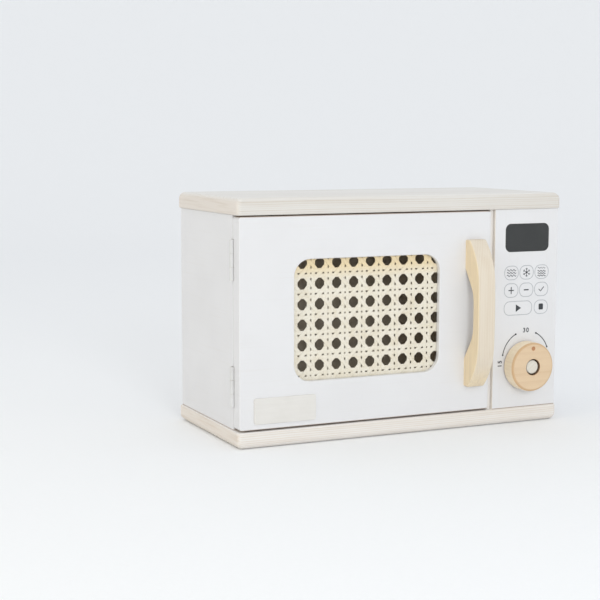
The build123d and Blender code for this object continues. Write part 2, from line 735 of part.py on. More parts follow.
def dial_knob():
    knob = rod_y(fascia_middle, dial_z, DIAL_DIAMETER, dial_front, dial_rear)
    knob = fillet(knob.faces().sort_by(Axis.Y)[0].edges(), DIAL_FRONT_ROUND)
    knob = fillet(knob.faces().sort_by(Axis.Y)[-1].edges(), DIAL_BACK_ROUND)
    knob -= rod_y(fascia_middle, dial_z, DIAL_WELL_DIAMETER, dial_front - OVERRUN, axle_head_rear)
    well_rim = knob.faces().sort_by(Axis.Y)[0].edges().sort_by(SortBy.LENGTH)[0]
    knob = fillet(well_rim, DIAL_WELL_ROUND)
    bore = AXLE_DIAMETER + 2 * GLUE_GAP
    knob -= rod_y(fascia_middle, dial_z, bore, dial_front, dial_rear + OVERRUN)
    dimple_radius = arc_radius(DIMPLE_DEPTH, DIMPLE_DIAMETER / 2)
    ball = Pos(fascia_middle, dial_front + DIMPLE_DEPTH - dimple_radius, dial_z + DIMPLE_FROM_CENTRE)
    return knob - ball * Sphere(dimple_radius)


def cross_pin_y():
    washer_rear = panel_front + WASHER_GAP + WASHER_THICKNESS
    return washer_rear + CROSS_PIN_DIAMETER / 2 + GLUE_GAP


def cross_pin(diameter):
    pin = Rot(0, 90, 0) * Cylinder(diameter / 2, CROSS_PIN_LENGTH)
    return Pos(fascia_middle, cross_pin_y(), dial_z) * pin


def dial_axle():
    head_front = axle_head_rear - AXLE_HEAD_HEIGHT
    head = rod_y(fascia_middle, dial_z, AXLE_HEAD_DIAMETER, head_front, axle_head_rear)
    head = fillet(head.faces().sort_by(Axis.Y)[0].edges(), AXLE_HEAD_ROUND)
    shank = rod_y(fascia_middle, dial_z, AXLE_DIAMETER, axle_head_rear, axle_end)
    return head + shank - cross_pin(CROSS_PIN_DIAMETER + 2 * GLUE_GAP)


def dial_cross_pin():
    return cross_pin(CROSS_PIN_DIAMETER)


def ring_y(outer, inner, front, rear):
    """A flat ring round the dial's axle."""
    return slab(Pos(fascia_middle, dial_z) * (Circle(outer / 2) - Circle(inner / 2)), front, rear)


def dial_felt_ring():
    return ring_y(FELT_DIAMETER, AXLE_DIAMETER + 2 * GLUE_GAP, dial_rear, dial_rear + FELT_THICKNESS)


def dial_washer():
    front = panel_front + WASHER_GAP
    return ring_y(WASHER_DIAMETER, AXLE_DIAMETER + 2 * GLUE_GAP, front, front + WASHER_THICKNESS)


def turntable_washer():
    ring = Circle(TURNTABLE_WASHER_DIAMETER / 2) - Circle(SPINDLE_DIAMETER / 2 + GLUE_GAP)
    return Pos(turntable_x, turntable_y, floor) * extrude(ring, amount=TURNTABLE_WASHER_THICKNESS)


def turntable_plate():
    top = turntable_bottom + TURNTABLE_THICKNESS
    plate = rod_z(turntable_x, turntable_y, turntable_diameter, turntable_bottom, top)
    plate = fillet(plate.edges(), TURNTABLE_ROUND)
    dish = turntable_diameter - 2 * TURNTABLE_RIM_WIDTH
    plate -= rod_z(turntable_x, turntable_y, dish, top - TURNTABLE_DISH_DEPTH, top + OVERRUN)
    bore = SPINDLE_DIAMETER + 2 * RUNNING_CLEARANCE
    return plate - rod_z(turntable_x, turntable_y, bore, turntable_bottom - OVERRUN, top + OVERRUN)


def turntable_spindle():
    """A mushroom peg glued into the floor, its head just over the dished plate."""
    neck_top = turntable_bottom + TURNTABLE_THICKNESS - TURNTABLE_DISH_DEPTH + TURNTABLE_GAP
    shank = rod_z(turntable_x, turntable_y, SPINDLE_DIAMETER, floor - SPINDLE_IN_BOARD, neck_top)
    dome_radius = arc_radius(SPINDLE_HEAD_HEIGHT, SPINDLE_HEAD_DIAMETER / 2)
    ball = Pos(turntable_x, turntable_y, neck_top + SPINDLE_HEAD_HEIGHT - dome_radius) * Sphere(dome_radius)
    room = 2 * SPINDLE_HEAD_DIAMETER
    above = rod_z(turntable_x, turntable_y, room, neck_top, neck_top + room)
    return shank + (ball & above)


nodes = {
    "bottom_board": bottom_board(),
    "top_board": top_board(),
    "left_side_panel": left_side_panel(),
    "right_side_panel": right_side_panel(),
    "divider_panel": divider_panel(),
    "divider_slip": divider_slip(),
    "back_panel": back_panel(),
    "control_fascia": control_fascia(),
    "display_screen": display_screen(),
    "carcass_dowels": carcass_dowels(),
    "back_panel_screws": back_panel_screws(),
    "case_leaf_screws": leaf_screws(1),
    "catch_magnets": catch_magnets(),
    "turntable_spindle": turntable_spindle(),
    "turntable_washer": turntable_washer(),
    "door_panel": door_panel(),
    "cane_webbing": cane_webbing(),
    "cane_retaining_frame": cane_retaining_frame(),
    "retaining_frame_pins": retaining_frame_pins(),
    "door_handle": door_handle(),
    "handle_screws": handle_screws(),
    "door_plaque": door_plaque(),
    "door_leaf_screws": leaf_screws(-1),
    "door_magnets": door_magnets(),
    "dial_knob": dial_knob(),
    "dial_axle": dial_axle(),
    "dial_felt_ring": dial_felt_ring(),
    "dial_washer": dial_washer(),
    "dial_cross_pin": dial_cross_pin(),
    "turntable_plate": turntable_plate(),
}
for name, bottom in hinge_bottoms.items():
    nodes[f"{name}_hinge_case_leaf"] = hinge_leaf(bottom, 1)
    nodes[f"{name}_hinge_door_leaf"] = hinge_leaf(bottom, -1)
    nodes[f"{name}_hinge_pin"] = hinge_pin(bottom)

os.makedirs("parts", exist_ok=True)
for name, shape in nodes.items():
    export_step(shape, f"parts/{name}.step")
print(len(nodes), "pieces; hinge axis at", hinge_x, hinge_y, "dial axis at", fascia_middle, dial_z)
print("turntable axis at", turntable_x, turntable_y)
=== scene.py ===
# %% [markdown]
# # Dressing a wooden toy microwave
# The toy is a case of two pale boards and white painted uprights, with a hinged door, a woven cane window,
# a bowed handle and a turned dial. Its boards, hinges, screws and pegs come as finished solids from the
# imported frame, already at their real size and place. Here each of them gets its finish, the cane gets its
# strands, and the buttons' print is laid on the control board. Loading the frame comes first, because
# everything else takes its place from it.

# %% Load the fixed frame
import math

import bmesh
import bpy
from mathutils import Matrix, Vector


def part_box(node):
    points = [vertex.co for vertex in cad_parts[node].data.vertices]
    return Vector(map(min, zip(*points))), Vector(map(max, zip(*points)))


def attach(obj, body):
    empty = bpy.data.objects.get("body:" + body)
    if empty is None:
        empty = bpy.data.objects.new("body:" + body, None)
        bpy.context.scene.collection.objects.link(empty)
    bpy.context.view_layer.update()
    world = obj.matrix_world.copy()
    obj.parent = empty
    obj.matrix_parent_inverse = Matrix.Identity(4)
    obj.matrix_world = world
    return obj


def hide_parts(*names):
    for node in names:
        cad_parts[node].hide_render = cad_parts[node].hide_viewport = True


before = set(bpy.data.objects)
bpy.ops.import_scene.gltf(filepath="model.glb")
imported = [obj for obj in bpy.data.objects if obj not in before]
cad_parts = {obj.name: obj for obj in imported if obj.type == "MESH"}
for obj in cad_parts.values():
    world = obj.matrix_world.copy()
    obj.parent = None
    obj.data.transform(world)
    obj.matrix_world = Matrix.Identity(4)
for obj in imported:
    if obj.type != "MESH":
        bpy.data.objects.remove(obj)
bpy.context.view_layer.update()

MM = 0.001

# %% [markdown]
# ## Where things are
# A piece that is added must sit on what carries it. Its place could be typed in, but then it would stay
# behind if the toy changed. So the few planes and middles that the later cells need are read from the
# solids here, once.

# %% Read the planes and middles
door_low, door_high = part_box("door_panel")
net_low, net_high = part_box("cane_webbing")
knob_low, knob_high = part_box("dial_knob")
side_low, side_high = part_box("left_side_panel")
fascia_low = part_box("control_fascia")[0]
right_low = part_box("right_side_panel")[0]
back_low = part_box("back_panel")[0]
face = fascia_low.y
dial_x = (knob_low.x + knob_high.x) / 2
dial_z = (knob_low.z + knob_high.z) / 2
print("face at", round(face / MM, 2), "mm; dial at", round(dial_x / MM, 2), round(dial_z / MM, 2), "mm")

# %% [markdown]
# ## The camera
# The photograph looks at the toy from its left and a little from above, from about a metre away. A camera
# can be turned by hand until it looks right, or worked out from the places of the toy's corners in the
# picture. The second way was used: these are the place, turn and focal length that bring the toy's corners
# to within three pixels of theirs. The picture is 600 pixels wide, so a focal length in pixels becomes
# millimetres on Blender's 36 mm sensor.

# %% Stand the camera where the photographer stood
PHOTO_WIDTH = 600
FOCAL_PIXELS = 1374.2
SENSOR_WIDTH = 36.0
CLIP_START = 10 * MM
CAMERA_AIM = Vector((-92.3 * MM, face, 111.9 * MM))
CAMERA_DISTANCE = 1044.5 * MM
CAMERA_YAW = math.radians(24.80)
CAMERA_PITCH = math.radians(-6.78)
CAMERA_ROLL = math.radians(0.11)


def look_directions(yaw, pitch, roll):
    """Right, up and forward of a camera that faces +Y at yaw 0."""
    forward = Vector((math.sin(yaw) * math.cos(pitch), math.cos(yaw) * math.cos(pitch), math.sin(pitch)))
    right = Vector((math.cos(yaw), -math.sin(yaw), 0))
    up = right.cross(forward)
    rolled_right = right * math.cos(roll) + up * math.sin(roll)
    rolled_up = up * math.cos(roll) - right * math.sin(roll)
    return rolled_right, rolled_up, forward


right, up, forward = look_directions(CAMERA_YAW, CAMERA_PITCH, CAMERA_ROLL)
camera = bpy.data.objects.new("camera", bpy.data.cameras.new("camera"))
bpy.context.scene.collection.objects.link(camera)
turned = Matrix((right, up, -forward)).transposed().to_4x4()
camera.matrix_world = Matrix.Translation(CAMERA_AIM - forward * CAMERA_DISTANCE) @ turned
camera.data.sensor_width = SENSOR_WIDTH
camera.data.lens = FOCAL_PIXELS / PHOTO_WIDTH * SENSOR_WIDTH
camera.data.clip_start = CLIP_START
bpy.context.scene.camera = camera
print("camera at", [round(v, 3) for v in camera.location], "lens", round(camera.data.lens, 2))

# %% [markdown]
# ## A way to lay out a finish
# Every finish below is a small net of shader nodes. Nodes can be placed by hand in the editor, or in code,
# where each takes three or four lines to make, set and wire up. The class here brings that to one call for
# a node, so that a finish reads like a recipe: where on the piece, which noise, which colour, how rough.
# All textures use the object's own coordinates. The solids lie in the frame with their places in their
# meshes, so these are metres on the toy, and they travel with the door and the dial when those turn.

# %% The finish helper
BEVEL_SAMPLES = 6
WORN_RANGE = (0.02, 0.35)


class Finish:
    """A material built one node at a time."""

    def __init__(self, name, roughness=0.5, specular=0.35, **sockets):
        self.material = bpy.data.materials.new(name)
        self.material.use_nodes = True
        self.tree = self.material.node_tree
        self.skin = self.tree.nodes["Principled BSDF"]
        self.skin.inputs["Roughness"].default_value = roughness
        self.skin.inputs["Specular IOR Level"].default_value = specular
        for socket, value in sockets.items():
            self.skin.inputs[socket.replace("_", " ").title()].default_value = value
        self.place = self.add("TexCoord").node.outputs["Object"]
        self.facing = self.place.node.outputs["Normal"]

    def add(self, kind, inputs=(), **settings):
        """Adds a node, sets it, feeds its inputs with values or outputs, and gives its first output."""
        node = self.tree.nodes.new("ShaderNode" + kind)
        for key, value in settings.items():
            setattr(node, key, value)
        for key, value in dict(inputs).items():
            if isinstance(value, bpy.types.NodeSocket):
                self.tree.links.new(value, node.inputs[key])
            else:
                node.inputs[key].default_value = value
        return node.outputs[0]

    def math(self, operation, first, second=0.0, clamp=False):
        return self.add("Math", {0: first, 1: second}, operation=operation, use_clamp=clamp)

    def vector(self, operation, first, second):
        return self.add("VectorMath", {0: first, 1: second}, operation=operation)

    def measure(self, operation, first, second=(0, 0, 0)):
        """A length, a distance or a dot product, as one number."""
        return self.vector(operation, first, second).node.outputs["Value"]

    def part(self, vector, axis):
        """One of the three numbers of a vector."""
        return self.add("SeparateXYZ", {0: vector}).node.outputs["XYZ".index(axis)]

    def squareness(self, axis):
        """1 where the surface faces straight along the axis, either way, and 0 where it lies along it."""
        return self.math("ABSOLUTE", self.part(self.facing, axis))

    def noise(self, vector, scale, detail=2.0, roughness=0.5):
        inputs = {"Vector": vector, "Scale": scale, "Detail": detail, "Roughness": roughness}
        return self.add("TexNoise", inputs)

    def between(self, value, low, high, to_low=0.0, to_high=1.0):
        """Stretches one range of values to another, and holds it at the ends."""
        inputs = {"Value": value, "From Min": low, "From Max": high, "To Min": to_low, "To Max": to_high}
        return self.add("MapRange", inputs, clamp=True)

    def blend(self, share, first, second):
        """A colour that goes from the first to the second."""
        return self.add("Mix", {0: share, 6: first, 7: second}, data_type="RGBA").node.outputs[2]

    def ramp(self, value, stops):
        """A grey curve through (place, height) stops."""
        curve = self.add("ValToRGB", {0: value})
        elements = curve.node.color_ramp.elements
        while len(elements) < len(stops):
            elements.new(1.0)
        for element, (place, height) in zip(elements, stops):
            element.position = place
            element.color = (height, height, height, 1)
        return curve

    def worn_edges(self, radius):
        """High where the surface turns within the radius, as along an edge, and nothing on flat stretches."""
        rounded = self.add("Bevel", {"Radius": radius}, samples=BEVEL_SAMPLES)
        straight = self.add("NewGeometry").node.outputs["Normal"]
        turn = self.measure("DOT_PRODUCT", rounded, straight)
        return self.between(self.math("SUBTRACT", 1.0, turn), *WORN_RANGE)

    def colour(self, value):
        self.tree.links.new(value, self.skin.inputs["Base Color"])

    def rough(self, value):
        self.tree.links.new(value, self.skin.inputs["Roughness"])

    def relief(self, *layers):
        """Bumps from (height, depth in metres) layers, one upon another."""
        normal = None
        for height, depth in layers:
            inputs = {"Height": height, "Distance": depth, "Strength": 1.0}
            if normal is not None:
                inputs["Normal"] = normal
            normal = self.add("Bump", inputs)
        self.tree.links.new(normal, self.skin.inputs["Normal"])


def rgb(red, green, blue):
    return (red, green, blue, 1)


def wear(finish, *nodes):
    """Puts a finish on solids of the frame."""
    for name in nodes:
        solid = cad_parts[name]
        if not solid.material_slots:
            solid.data.materials.append(None)
        for slot in solid.material_slots:
            slot.material = finish.material
    print(finish.material.name, "on", ", ".join(nodes))


# %% [markdown]
# ## Wood that is solid all the way through
# A plank shows fine lines along its edge, wide flames on its face and arcs on its end, and they all meet at
# the corners, because they are cuts through the same year rings. A flat wood pattern can't do that. Here
# the colour comes from the distance to the tree's heart, a line that lies outside the board, so each side
# shows its own true cut. Slow noise bends the rings, each ring takes its own strength, and very long fine
# noise draws the fibres. On the boards' ends the rings are so wide and flat that they show as a few level
# lines, which get a noise of their own.

# %% The wood recipe
AXES = "XYZ"


def along_grain(finish, grain, squeeze):
    """The place with its length along the grain squeezed, so that noise on it draws out into fibres."""
    return finish.vector("MULTIPLY", finish.place, [squeeze if axis == grain else 1.0 for axis in AXES])


def drawn_noise(finish, grain, squeeze, scale, detail=2.0, roughness=0.5):
    """Noise that is drawn out along the grain."""
    return finish.noise(along_grain(finish, grain, squeeze), scale, detail, roughness)


def year_rings(finish, grain, heart, ring, wander):
    """Rings counted outward from the heart, a line along the grain through the point given in metres."""
    outward = finish.vector("SUBTRACT", finish.place, heart)
    across = finish.vector("MULTIPLY", outward, [float(axis != grain) for axis in AXES])
    radius = finish.measure("LENGTH", across)
    bend = drawn_noise(finish, grain, squeeze=0.12, scale=38.0)
    bend = finish.math("MULTIPLY", finish.math("SUBTRACT", bend, 0.5), wander)
    return finish.math("DIVIDE", finish.math("ADD", radius, bend), ring)


RING_CURVE = ((0.0, 0.12), (0.45, 0.0), (0.86, 0.9), (0.94, 1.0), (1.0, 0.12))
WEAKEST_RING = 0.35
FIBRE = 0.10
STRAND_DEPTH = 0.035 * MM
RING_LINE_DEPTH = 0.03 * MM


def wood(name, grain, heart, early, late, ring, depth, wander=7.0 * MM, roughness=0.52, end=None):
    """Sawn and sanded wood. early and late colour a ring's inside and its dark line, end the cut ends."""
    finish = Finish(name, specular=0.3)
    rings = year_rings(finish, grain, heart, ring, wander)
    line = finish.ramp(finish.math("FRACT", rings), RING_CURVE)
    own = finish.add("TexWhiteNoise", {"W": finish.math("FLOOR", rings)}, noise_dimensions="1D")
    line = finish.math("MULTIPLY", line, finish.between(own, 0.0, 1.0, WEAKEST_RING * depth, depth))
    strands = drawn_noise(finish, grain, squeeze=0.02, scale=1500.0, detail=3.0, roughness=0.6)
    streaks = drawn_noise(finish, grain, squeeze=0.05, scale=150.0)
    tone = finish.math("ADD", line, finish.between(strands, 0.3, 0.7, -FIBRE, FIBRE))
    tone = finish.math("ADD", tone, finish.between(streaks, 0.35, 0.7, -FIBRE, 2 * FIBRE), clamp=True)
    finish.tone = finish.blend(tone, early, late)
    if end:
        end_on = finish.between(finish.squareness(grain), 0.4, 0.95)
        layers = drawn_noise(finish, "Y", squeeze=0.05, scale=420.0)
        end_tone = finish.blend(finish.between(layers, 0.48, 0.72, 0.0, 0.4), end, late)
        finish.tone = finish.blend(end_on, finish.tone, end_tone)
    finish.colour(finish.tone)
    finish.rough(finish.between(strands, 0.2, 0.8, roughness - 0.07, roughness + 0.08))
    finish.relief((strands, STRAND_DEPTH), (line, -RING_LINE_DEPTH))
    return finish


# %% [markdown]
# ## The two pine boards
# The bottom and the top board are pale, washed pine, and their long edges show fine level lines. Level
# lines mean that the heart lay far below or above the board, so that is where it is put, a little to the
# back. The two boards come from different planks: each has its own heart, so their lines differ as they do
# on the toy. The lower board is the warmer one. Their upper faces get painted light, a blend toward near
# white.

# %% Finish the boards
PINE_EARLY = rgb(0.70, 0.672, 0.63)
PINE_LATE = rgb(0.53, 0.435, 0.335)
PINE_END = rgb(0.745, 0.685, 0.625)
WARM_EARLY = rgb(0.80, 0.765, 0.725)
WARM_LATE = rgb(0.62, 0.495, 0.375)
WARM_END = rgb(0.79, 0.725, 0.655)
# Painted light for the boards' upper faces.
TOP_FACE_LIGHT = rgb(0.95, 0.945, 0.935)
TOP_LIGHT_SHARE = 0.42
TOP_HEART = (0, 0.03, -0.10)
BOTTOM_HEART = (0, 0.06, -0.21)
plank = {"ring": 1.5 * MM, "wander": 3.0 * MM, "depth": 0.54}
top_pine = wood("washed_pine_top", "X", TOP_HEART, PINE_EARLY, PINE_LATE, end=PINE_END, **plank)
bottom_pine = wood("washed_pine_bottom", "X", BOTTOM_HEART, WARM_EARLY, WARM_LATE, end=WARM_END, **plank)
# Painted light: faces that look up are blended toward near white.
for finish in (top_pine, bottom_pine):
    painted_top_light = finish.between(finish.part(finish.facing, "Z"), 0.5, 0.95, 0.0, TOP_LIGHT_SHARE)
    finish.colour(finish.blend(painted_top_light, finish.tone, TOP_FACE_LIGHT))
wear(top_pine, "top_board")
wear(bottom_pine, "bottom_board")

# %% [markdown]
# ## White paint over board
# The uprights, the door and the control board have a satin white paint, rolled on and nearly without grain.
# A plain white would look like plastic. Rolled paint has a skin like fine orange peel, its gloss changes in
# soft patches, the board below shows as a faint drawing, and it wears thin and warm along the edges. The
# insides of the case are left unpainted, so one recipe holds both: a plane in the object decides where the
# paint stops and the raw board starts. Where the uprights stand on the bottom board, and along the door's
# upper and lower edge, a thin brown line of painted shade in a raw board tone is laid, where the gaps lie
# dark.

# %% The raw board recipe
BOARD_TONES = (rgb(0.80, 0.705, 0.575), rgb(0.69, 0.585, 0.455))
EDGE_TONES = (rgb(0.84, 0.79, 0.73), rgb(0.76, 0.70, 0.63))
SKIN = 0.3 * MM
BOARD_FIBRE_DEPTH = 0.05 * MM
divider_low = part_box("divider_panel")[0]


def raw_board_tone(finish, pale, dark):
    """Bare board: pressed fibres in every direction, with darker flecks."""
    fibres = finish.noise(finish.place, scale=900.0, detail=4.0, roughness=0.7)
    clouds = finish.noise(finish.place, scale=70.0, detail=3.0)
    return finish.blend(finish.between(finish.math("ADD", fibres, clouds), 0.75, 1.3), pale, dark)


raw_board = Finish("raw_fibre_board", roughness=0.8, specular=0.2)
sealed_edge = raw_board.math("LESS_THAN", raw_board.part(raw_board.place, "Y"), divider_low.y + SKIN)
board_tone = raw_board_tone(raw_board, *BOARD_TONES)
edge_tone = raw_board_tone(raw_board, *EDGE_TONES)
raw_board.colour(raw_board.blend(sealed_edge, board_tone, edge_tone))
pressed = raw_board.noise(raw_board.place, scale=400.0, detail=3.0)
raw_board.rough(raw_board.between(pressed, 0.3, 0.7, 0.72, 0.9))
raw_board.relief((raw_board.noise(raw_board.place, scale=1100.0, detail=4.0), BOARD_FIBRE_DEPTH))
wear(raw_board, "divider_panel")

# %% The paint recipe
PAINT = rgb(0.755, 0.747, 0.752)
PAINT_CLOUD = rgb(0.738, 0.729, 0.733)
PAINT_THIN = rgb(0.66, 0.61, 0.55)
# The hinges' paint, darker as painted shade.
HINGE_PAINT_SHADE = rgb(0.655, 0.648, 0.64)
# Painted shade in a raw board tone for the dark gaps along level edges.
GAP_SHADE = rgb(0.30, 0.21, 0.155)
GAP_SHADE_PALE = rgb(0.46, 0.34, 0.26)
GAP_SHADE_WIDTH = 0.75 * MM
GAP_SHADE_CORE_SHARE = 0.6
GAP_SHADE_STRENGTH = 0.85
THIN_EDGE = 0.9 * MM
SHOWING_THROUGH = 0.12
BARE_ROUGHNESS = 0.8
PEEL_DEPTH = 0.022 * MM
BELOW_DEPTH = 0.012 * MM


def gap_shade_line(finish, tone, height):
    """Painted shade: a thin brown line in a raw board tone along a level edge, where the gap lies dark."""
    away = finish.math("ABSOLUTE", finish.math("SUBTRACT", finish.part(finish.place, "Z"), height))
    fibres = finish.noise(finish.place, scale=900.0, detail=4.0, roughness=0.7)
    raw = finish.blend(fibres, GAP_SHADE, GAP_SHADE_PALE)
    share = finish.between(away, GAP_SHADE_CORE_SHARE * GAP_SHADE_WIDTH, GAP_SHADE_WIDTH, GAP_SHADE_STRENGTH, 0.0)
    return finish.blend(share, tone, raw)


def paint(name, grain="Z", bare=None, main=PAINT, joints=()):
    """Rolled satin paint. bare holds an axis, a place on it, a side and two tones of bare board beyond it."""
    finish = Finish(name, specular=0.4)
    peel = finish.noise(finish.place, scale=620.0, roughness=0.4)
    clouds = finish.noise(finish.place, scale=26.0)
    below = drawn_noise(finish, grain, squeeze=0.04, scale=420.0)
    white = finish.blend(finish.between(clouds, 0.35, 0.75), main, PAINT_CLOUD)
    patchy = finish.between(finish.noise(finish.place, scale=160.0, detail=3.0), 0.4, 0.6, 0.15, 0.75)
    thin = finish.math("MULTIPLY", finish.worn_edges(THIN_EDGE), patchy)
    through = finish.math("MULTIPLY", finish.between(below, 0.55, 0.8), SHOWING_THROUGH)
    tone = finish.blend(through, white, PAINT_THIN)
    tone = finish.blend(thin, tone, PAINT_THIN)
    # Painted shade: a brown line at each given height, where a gap lies dark.
    for height in joints:
        tone = gap_shade_line(finish, tone, height)
    gloss = finish.between(clouds, 0.3, 0.7, 0.34, 0.46)
    if bare:
        axis, start, side, tones = bare
        past = finish.math("SUBTRACT", finish.part(finish.place, axis), start)
        beyond = finish.math("GREATER_THAN", finish.math("MULTIPLY", past, side), 0.0)
        tone = finish.blend(beyond, tone, raw_board_tone(finish, *tones))
        gloss = finish.math("MAXIMUM", gloss, finish.math("MULTIPLY", beyond, BARE_ROUGHNESS))
    finish.colour(tone)
    finish.rough(gloss)
    finish.relief((peel, PEEL_DEPTH), (below, BELOW_DEPTH))
    return finish


# %% Paint the uprights, the door and the control board
# The height where the uprights' feet get a line of painted shade.
upright_foot_shade = (side_low.z,)
fascia_edge = ("X", fascia_low.x + SKIN, -1, EDGE_TONES)
left_inside = ("X", side_high.x - SKIN, 1, BOARD_TONES)
right_inside = ("X", right_low.x + SKIN, -1, BOARD_TONES)
back_inside = ("Y", back_low.y + SKIN, -1, BOARD_TONES)
wear(paint("paint_door", "X", joints=(door_low.z, door_high.z)), "door_panel")
wear(paint("paint_fascia", "Z", fascia_edge, joints=upright_foot_shade), "control_fascia")
wear(paint("paint_left_side", "Y", left_inside, joints=upright_foot_shade), "left_side_panel")
wear(paint("paint_right_side", "Y", right_inside, joints=upright_foot_shade), "right_side_panel")
wear(paint("paint_back", "X", back_inside), "back_panel")

# %% [markdown]
# ## The studio
# The floor is a pale sheet that curves up all round like a shallow bowl, as photographers use, so no
# horizon line cuts the picture from any side. A flat plane would be simpler, but it would end in a line
# behind the toy. The photograph has hardly a shadow. So most light is a white sky above the bowl, and the
# lamp for the front hangs behind the camera and above it, where its shadows fall out of sight. A weak warm
# one hangs on the far left. Both are hidden from the camera, or they would show as white discs in the views
# from behind.

# %% Build the floor bowl
FLOOR_RADIUS = 1.7
COVE_RADIUS = 1.3
COVE_STEPS = 14
BOWL_SEGMENTS = 96
FLAT_SHARES = (0.1, 0.4, 0.7)


def bowl_profile():
    """Radius and height from the middle outward: flat, then a quarter round up."""
    cove = [math.pi / 2 * step / COVE_STEPS for step in range(COVE_STEPS + 1)]
    rise = [(FLOOR_RADIUS + COVE_RADIUS * math.sin(a), COVE_RADIUS * (1 - math.cos(a))) for a in cove]
    return [(FLOOR_RADIUS * share, 0.0) for share in FLAT_SHARES] + rise


def bowl_mesh():
    mesh = bmesh.new()
    middle = mesh.verts.new((0, 0, 0))
    rings = []
    for radius, height in bowl_profile():
        turns = [2 * math.pi * i / BOWL_SEGMENTS for i in range(BOWL_SEGMENTS)]
        rings.append([mesh.verts.new((radius * math.cos(a), radius * math.sin(a), height)) for a in turns])
    for i in range(BOWL_SEGMENTS):
        j = (i + 1) % BOWL_SEGMENTS
        mesh.faces.new((middle, rings[0][i], rings[0][j]))
        for inner, outer in zip(rings, rings[1:]):
            mesh.faces.new((inner[i], outer[i], outer[j], inner[j]))
    for each in mesh.faces:
        each.smooth = True
    return mesh


def to_object(name, mesh):
    """Turns a finished bmesh into an object in the scene."""
    data = bpy.data.meshes.new(name)
    mesh.to_mesh(data)
    mesh.free()
    made = bpy.data.objects.new(name, data)
    bpy.context.scene.collection.objects.link(made)
    print(name, len(data.vertices), "points,", len(data.polygons), "faces")
    return made


PAPER_DIM = rgb(0.925, 0.93, 0.94)
PAPER_BRIGHT = rgb(0.945, 0.95, 0.957)
PAPER_DEPTH = 0.1 * MM
floor = to_object("studio_floor", bowl_mesh())
floor_paper = Finish("floor_paper", roughness=0.9, specular=0.1)
pulp = floor_paper.noise(floor_paper.place, scale=300.0, detail=3.0)
floor_paper.colour(floor_paper.blend(pulp, PAPER_DIM, PAPER_BRIGHT))
floor_paper.relief((pulp, PAPER_DEPTH))
floor.data.materials.append(floor_paper.material)

# %% Hang the lights
SKY_STRENGTH = 0.872
SKY_COLOUR = rgb(0.954, 0.977, 1.0)
LIGHT_AIM = Vector((0, 0, 90 * MM))
LIGHTS = {
    "key_light": {"place": (-0.34, -1.80, 0.66), "size": 0.6, "watts": 8.3, "colour": (0.95, 0.99, 1.0)},
    "side_light": {"place": (-1.55, -0.42, 0.64), "size": 0.6, "watts": 2.9, "colour": (1.0, 0.87, 0.58)},
}
world = bpy.data.worlds.new("studio_sky")
world.use_nodes = True
sky = world.node_tree.nodes["Background"].inputs
sky["Color"].default_value = SKY_COLOUR
sky["Strength"].default_value = SKY_STRENGTH
bpy.context.scene.world = world
for name, facts in LIGHTS.items():
    lamp = bpy.data.objects.new(name, bpy.data.lights.new(name, "AREA"))
    lamp.data.shape = "DISK"
    lamp.data.size = facts["size"]
    lamp.data.energy = facts["watts"]
    lamp.data.color = facts["colour"]
    lamp.location = facts["place"]
    towards = LIGHT_AIM - lamp.location
    lamp.rotation_euler = towards.to_track_quat("-Z", "Y").to_euler()
    lamp.visible_camera = False
    bpy.context.scene.collection.objects.link(lamp)
bpy.context.scene.view_settings.view_transform = "Standard"
print("lights", sorted(LIGHTS))

# %% [markdown]
# ## Woven cane
# The window holds cane webbing: flat, glossy strips in four directions. In real cane, upright pairs and
# level pairs cross in a plain weave, one strip over and the next under, which leaves a pinhole in each
# crossing. Single slanted strips run both ways past the corners of every eye and make it eight-sided: one
# set goes over the upright pairs and under the level ones, the other set the opposite way. An image of cane
# on a sheet would show no thickness where the light rakes over it, so every strip is a real ribbon here.
# Its centre line is a function: how far it has run gives its place in the window, and where it meets other
# strips it rises or dips by a smooth wave. The frame's holed sheet has the same grid. Only its size and
# place are used, and the strips stand for it.

# %% Lay out the weave's grid
PITCH_X = 14.67 * MM
PITCH_Z = 15.87 * MM
FIRST_EYE_X = net_low.x + 17.25 * MM
FIRST_EYE_Z = net_low.z + 20.1 * MM
EYE_SHARE = 0.54
EYE_CORNER_SHARE = 0.34
PINHOLE_SHARE = 0.07
STRIP_THICKNESS = 0.14 * MM
CROSSING_LIFT = 0.085 * MM
SLANT_LIFT = 0.15 * MM
STEPS_PER_PITCH = 12
net_middle_y = (net_low.y + net_high.y) / 2
PAIR_WIDTH_SHARE = (1 - EYE_SHARE - PINHOLE_SHARE) / 2
PAIR_PLACE_SHARE = 0.5 - (PINHOLE_SHARE + PAIR_WIDTH_SHARE) / 2
SLANT_WIDTH_SHARE = (0.5 - EYE_SHARE * (1 - EYE_CORNER_SHARE)) * math.sqrt(2)
print("pair strips", round(PAIR_WIDTH_SHARE * PITCH_X / MM, 2), "mm wide")

# %% [markdown]
# ### How a strip rises and dips
# Places in the weave are counted in pitches from the middle of an eye. An upright strip of a pair stands at
# plus or minus 0.37 beside an eye's middle, and crosses the level pair at plus and minus 0.37 of height.
# Each strip of a pair rises at one of these and dips at the other. As built here, an upright and a level
# strip rise or dip together where they cross, so they run through each other and don't pass over and under
# as real ones do. For that, the level strips would need the opposite hand. Counted across in pitches, a
# slanted strip meets a level pair at each whole number and an upright pair halfway between, so one slow
# wave takes it over the one and under the other. The wave is flattened at its crests, as stiff cane is.

# %% The weave's height at any place
STIFFNESS = 2.2
CROSSING_REACH = 0.12


def stiff_wave(phase):
    """A wave of period 1 that is 1 at phase 0 and -1 at a half, with flattened crests."""
    return math.tanh(STIFFNESS * math.cos(2 * math.pi * phase)) / math.tanh(STIFFNESS)


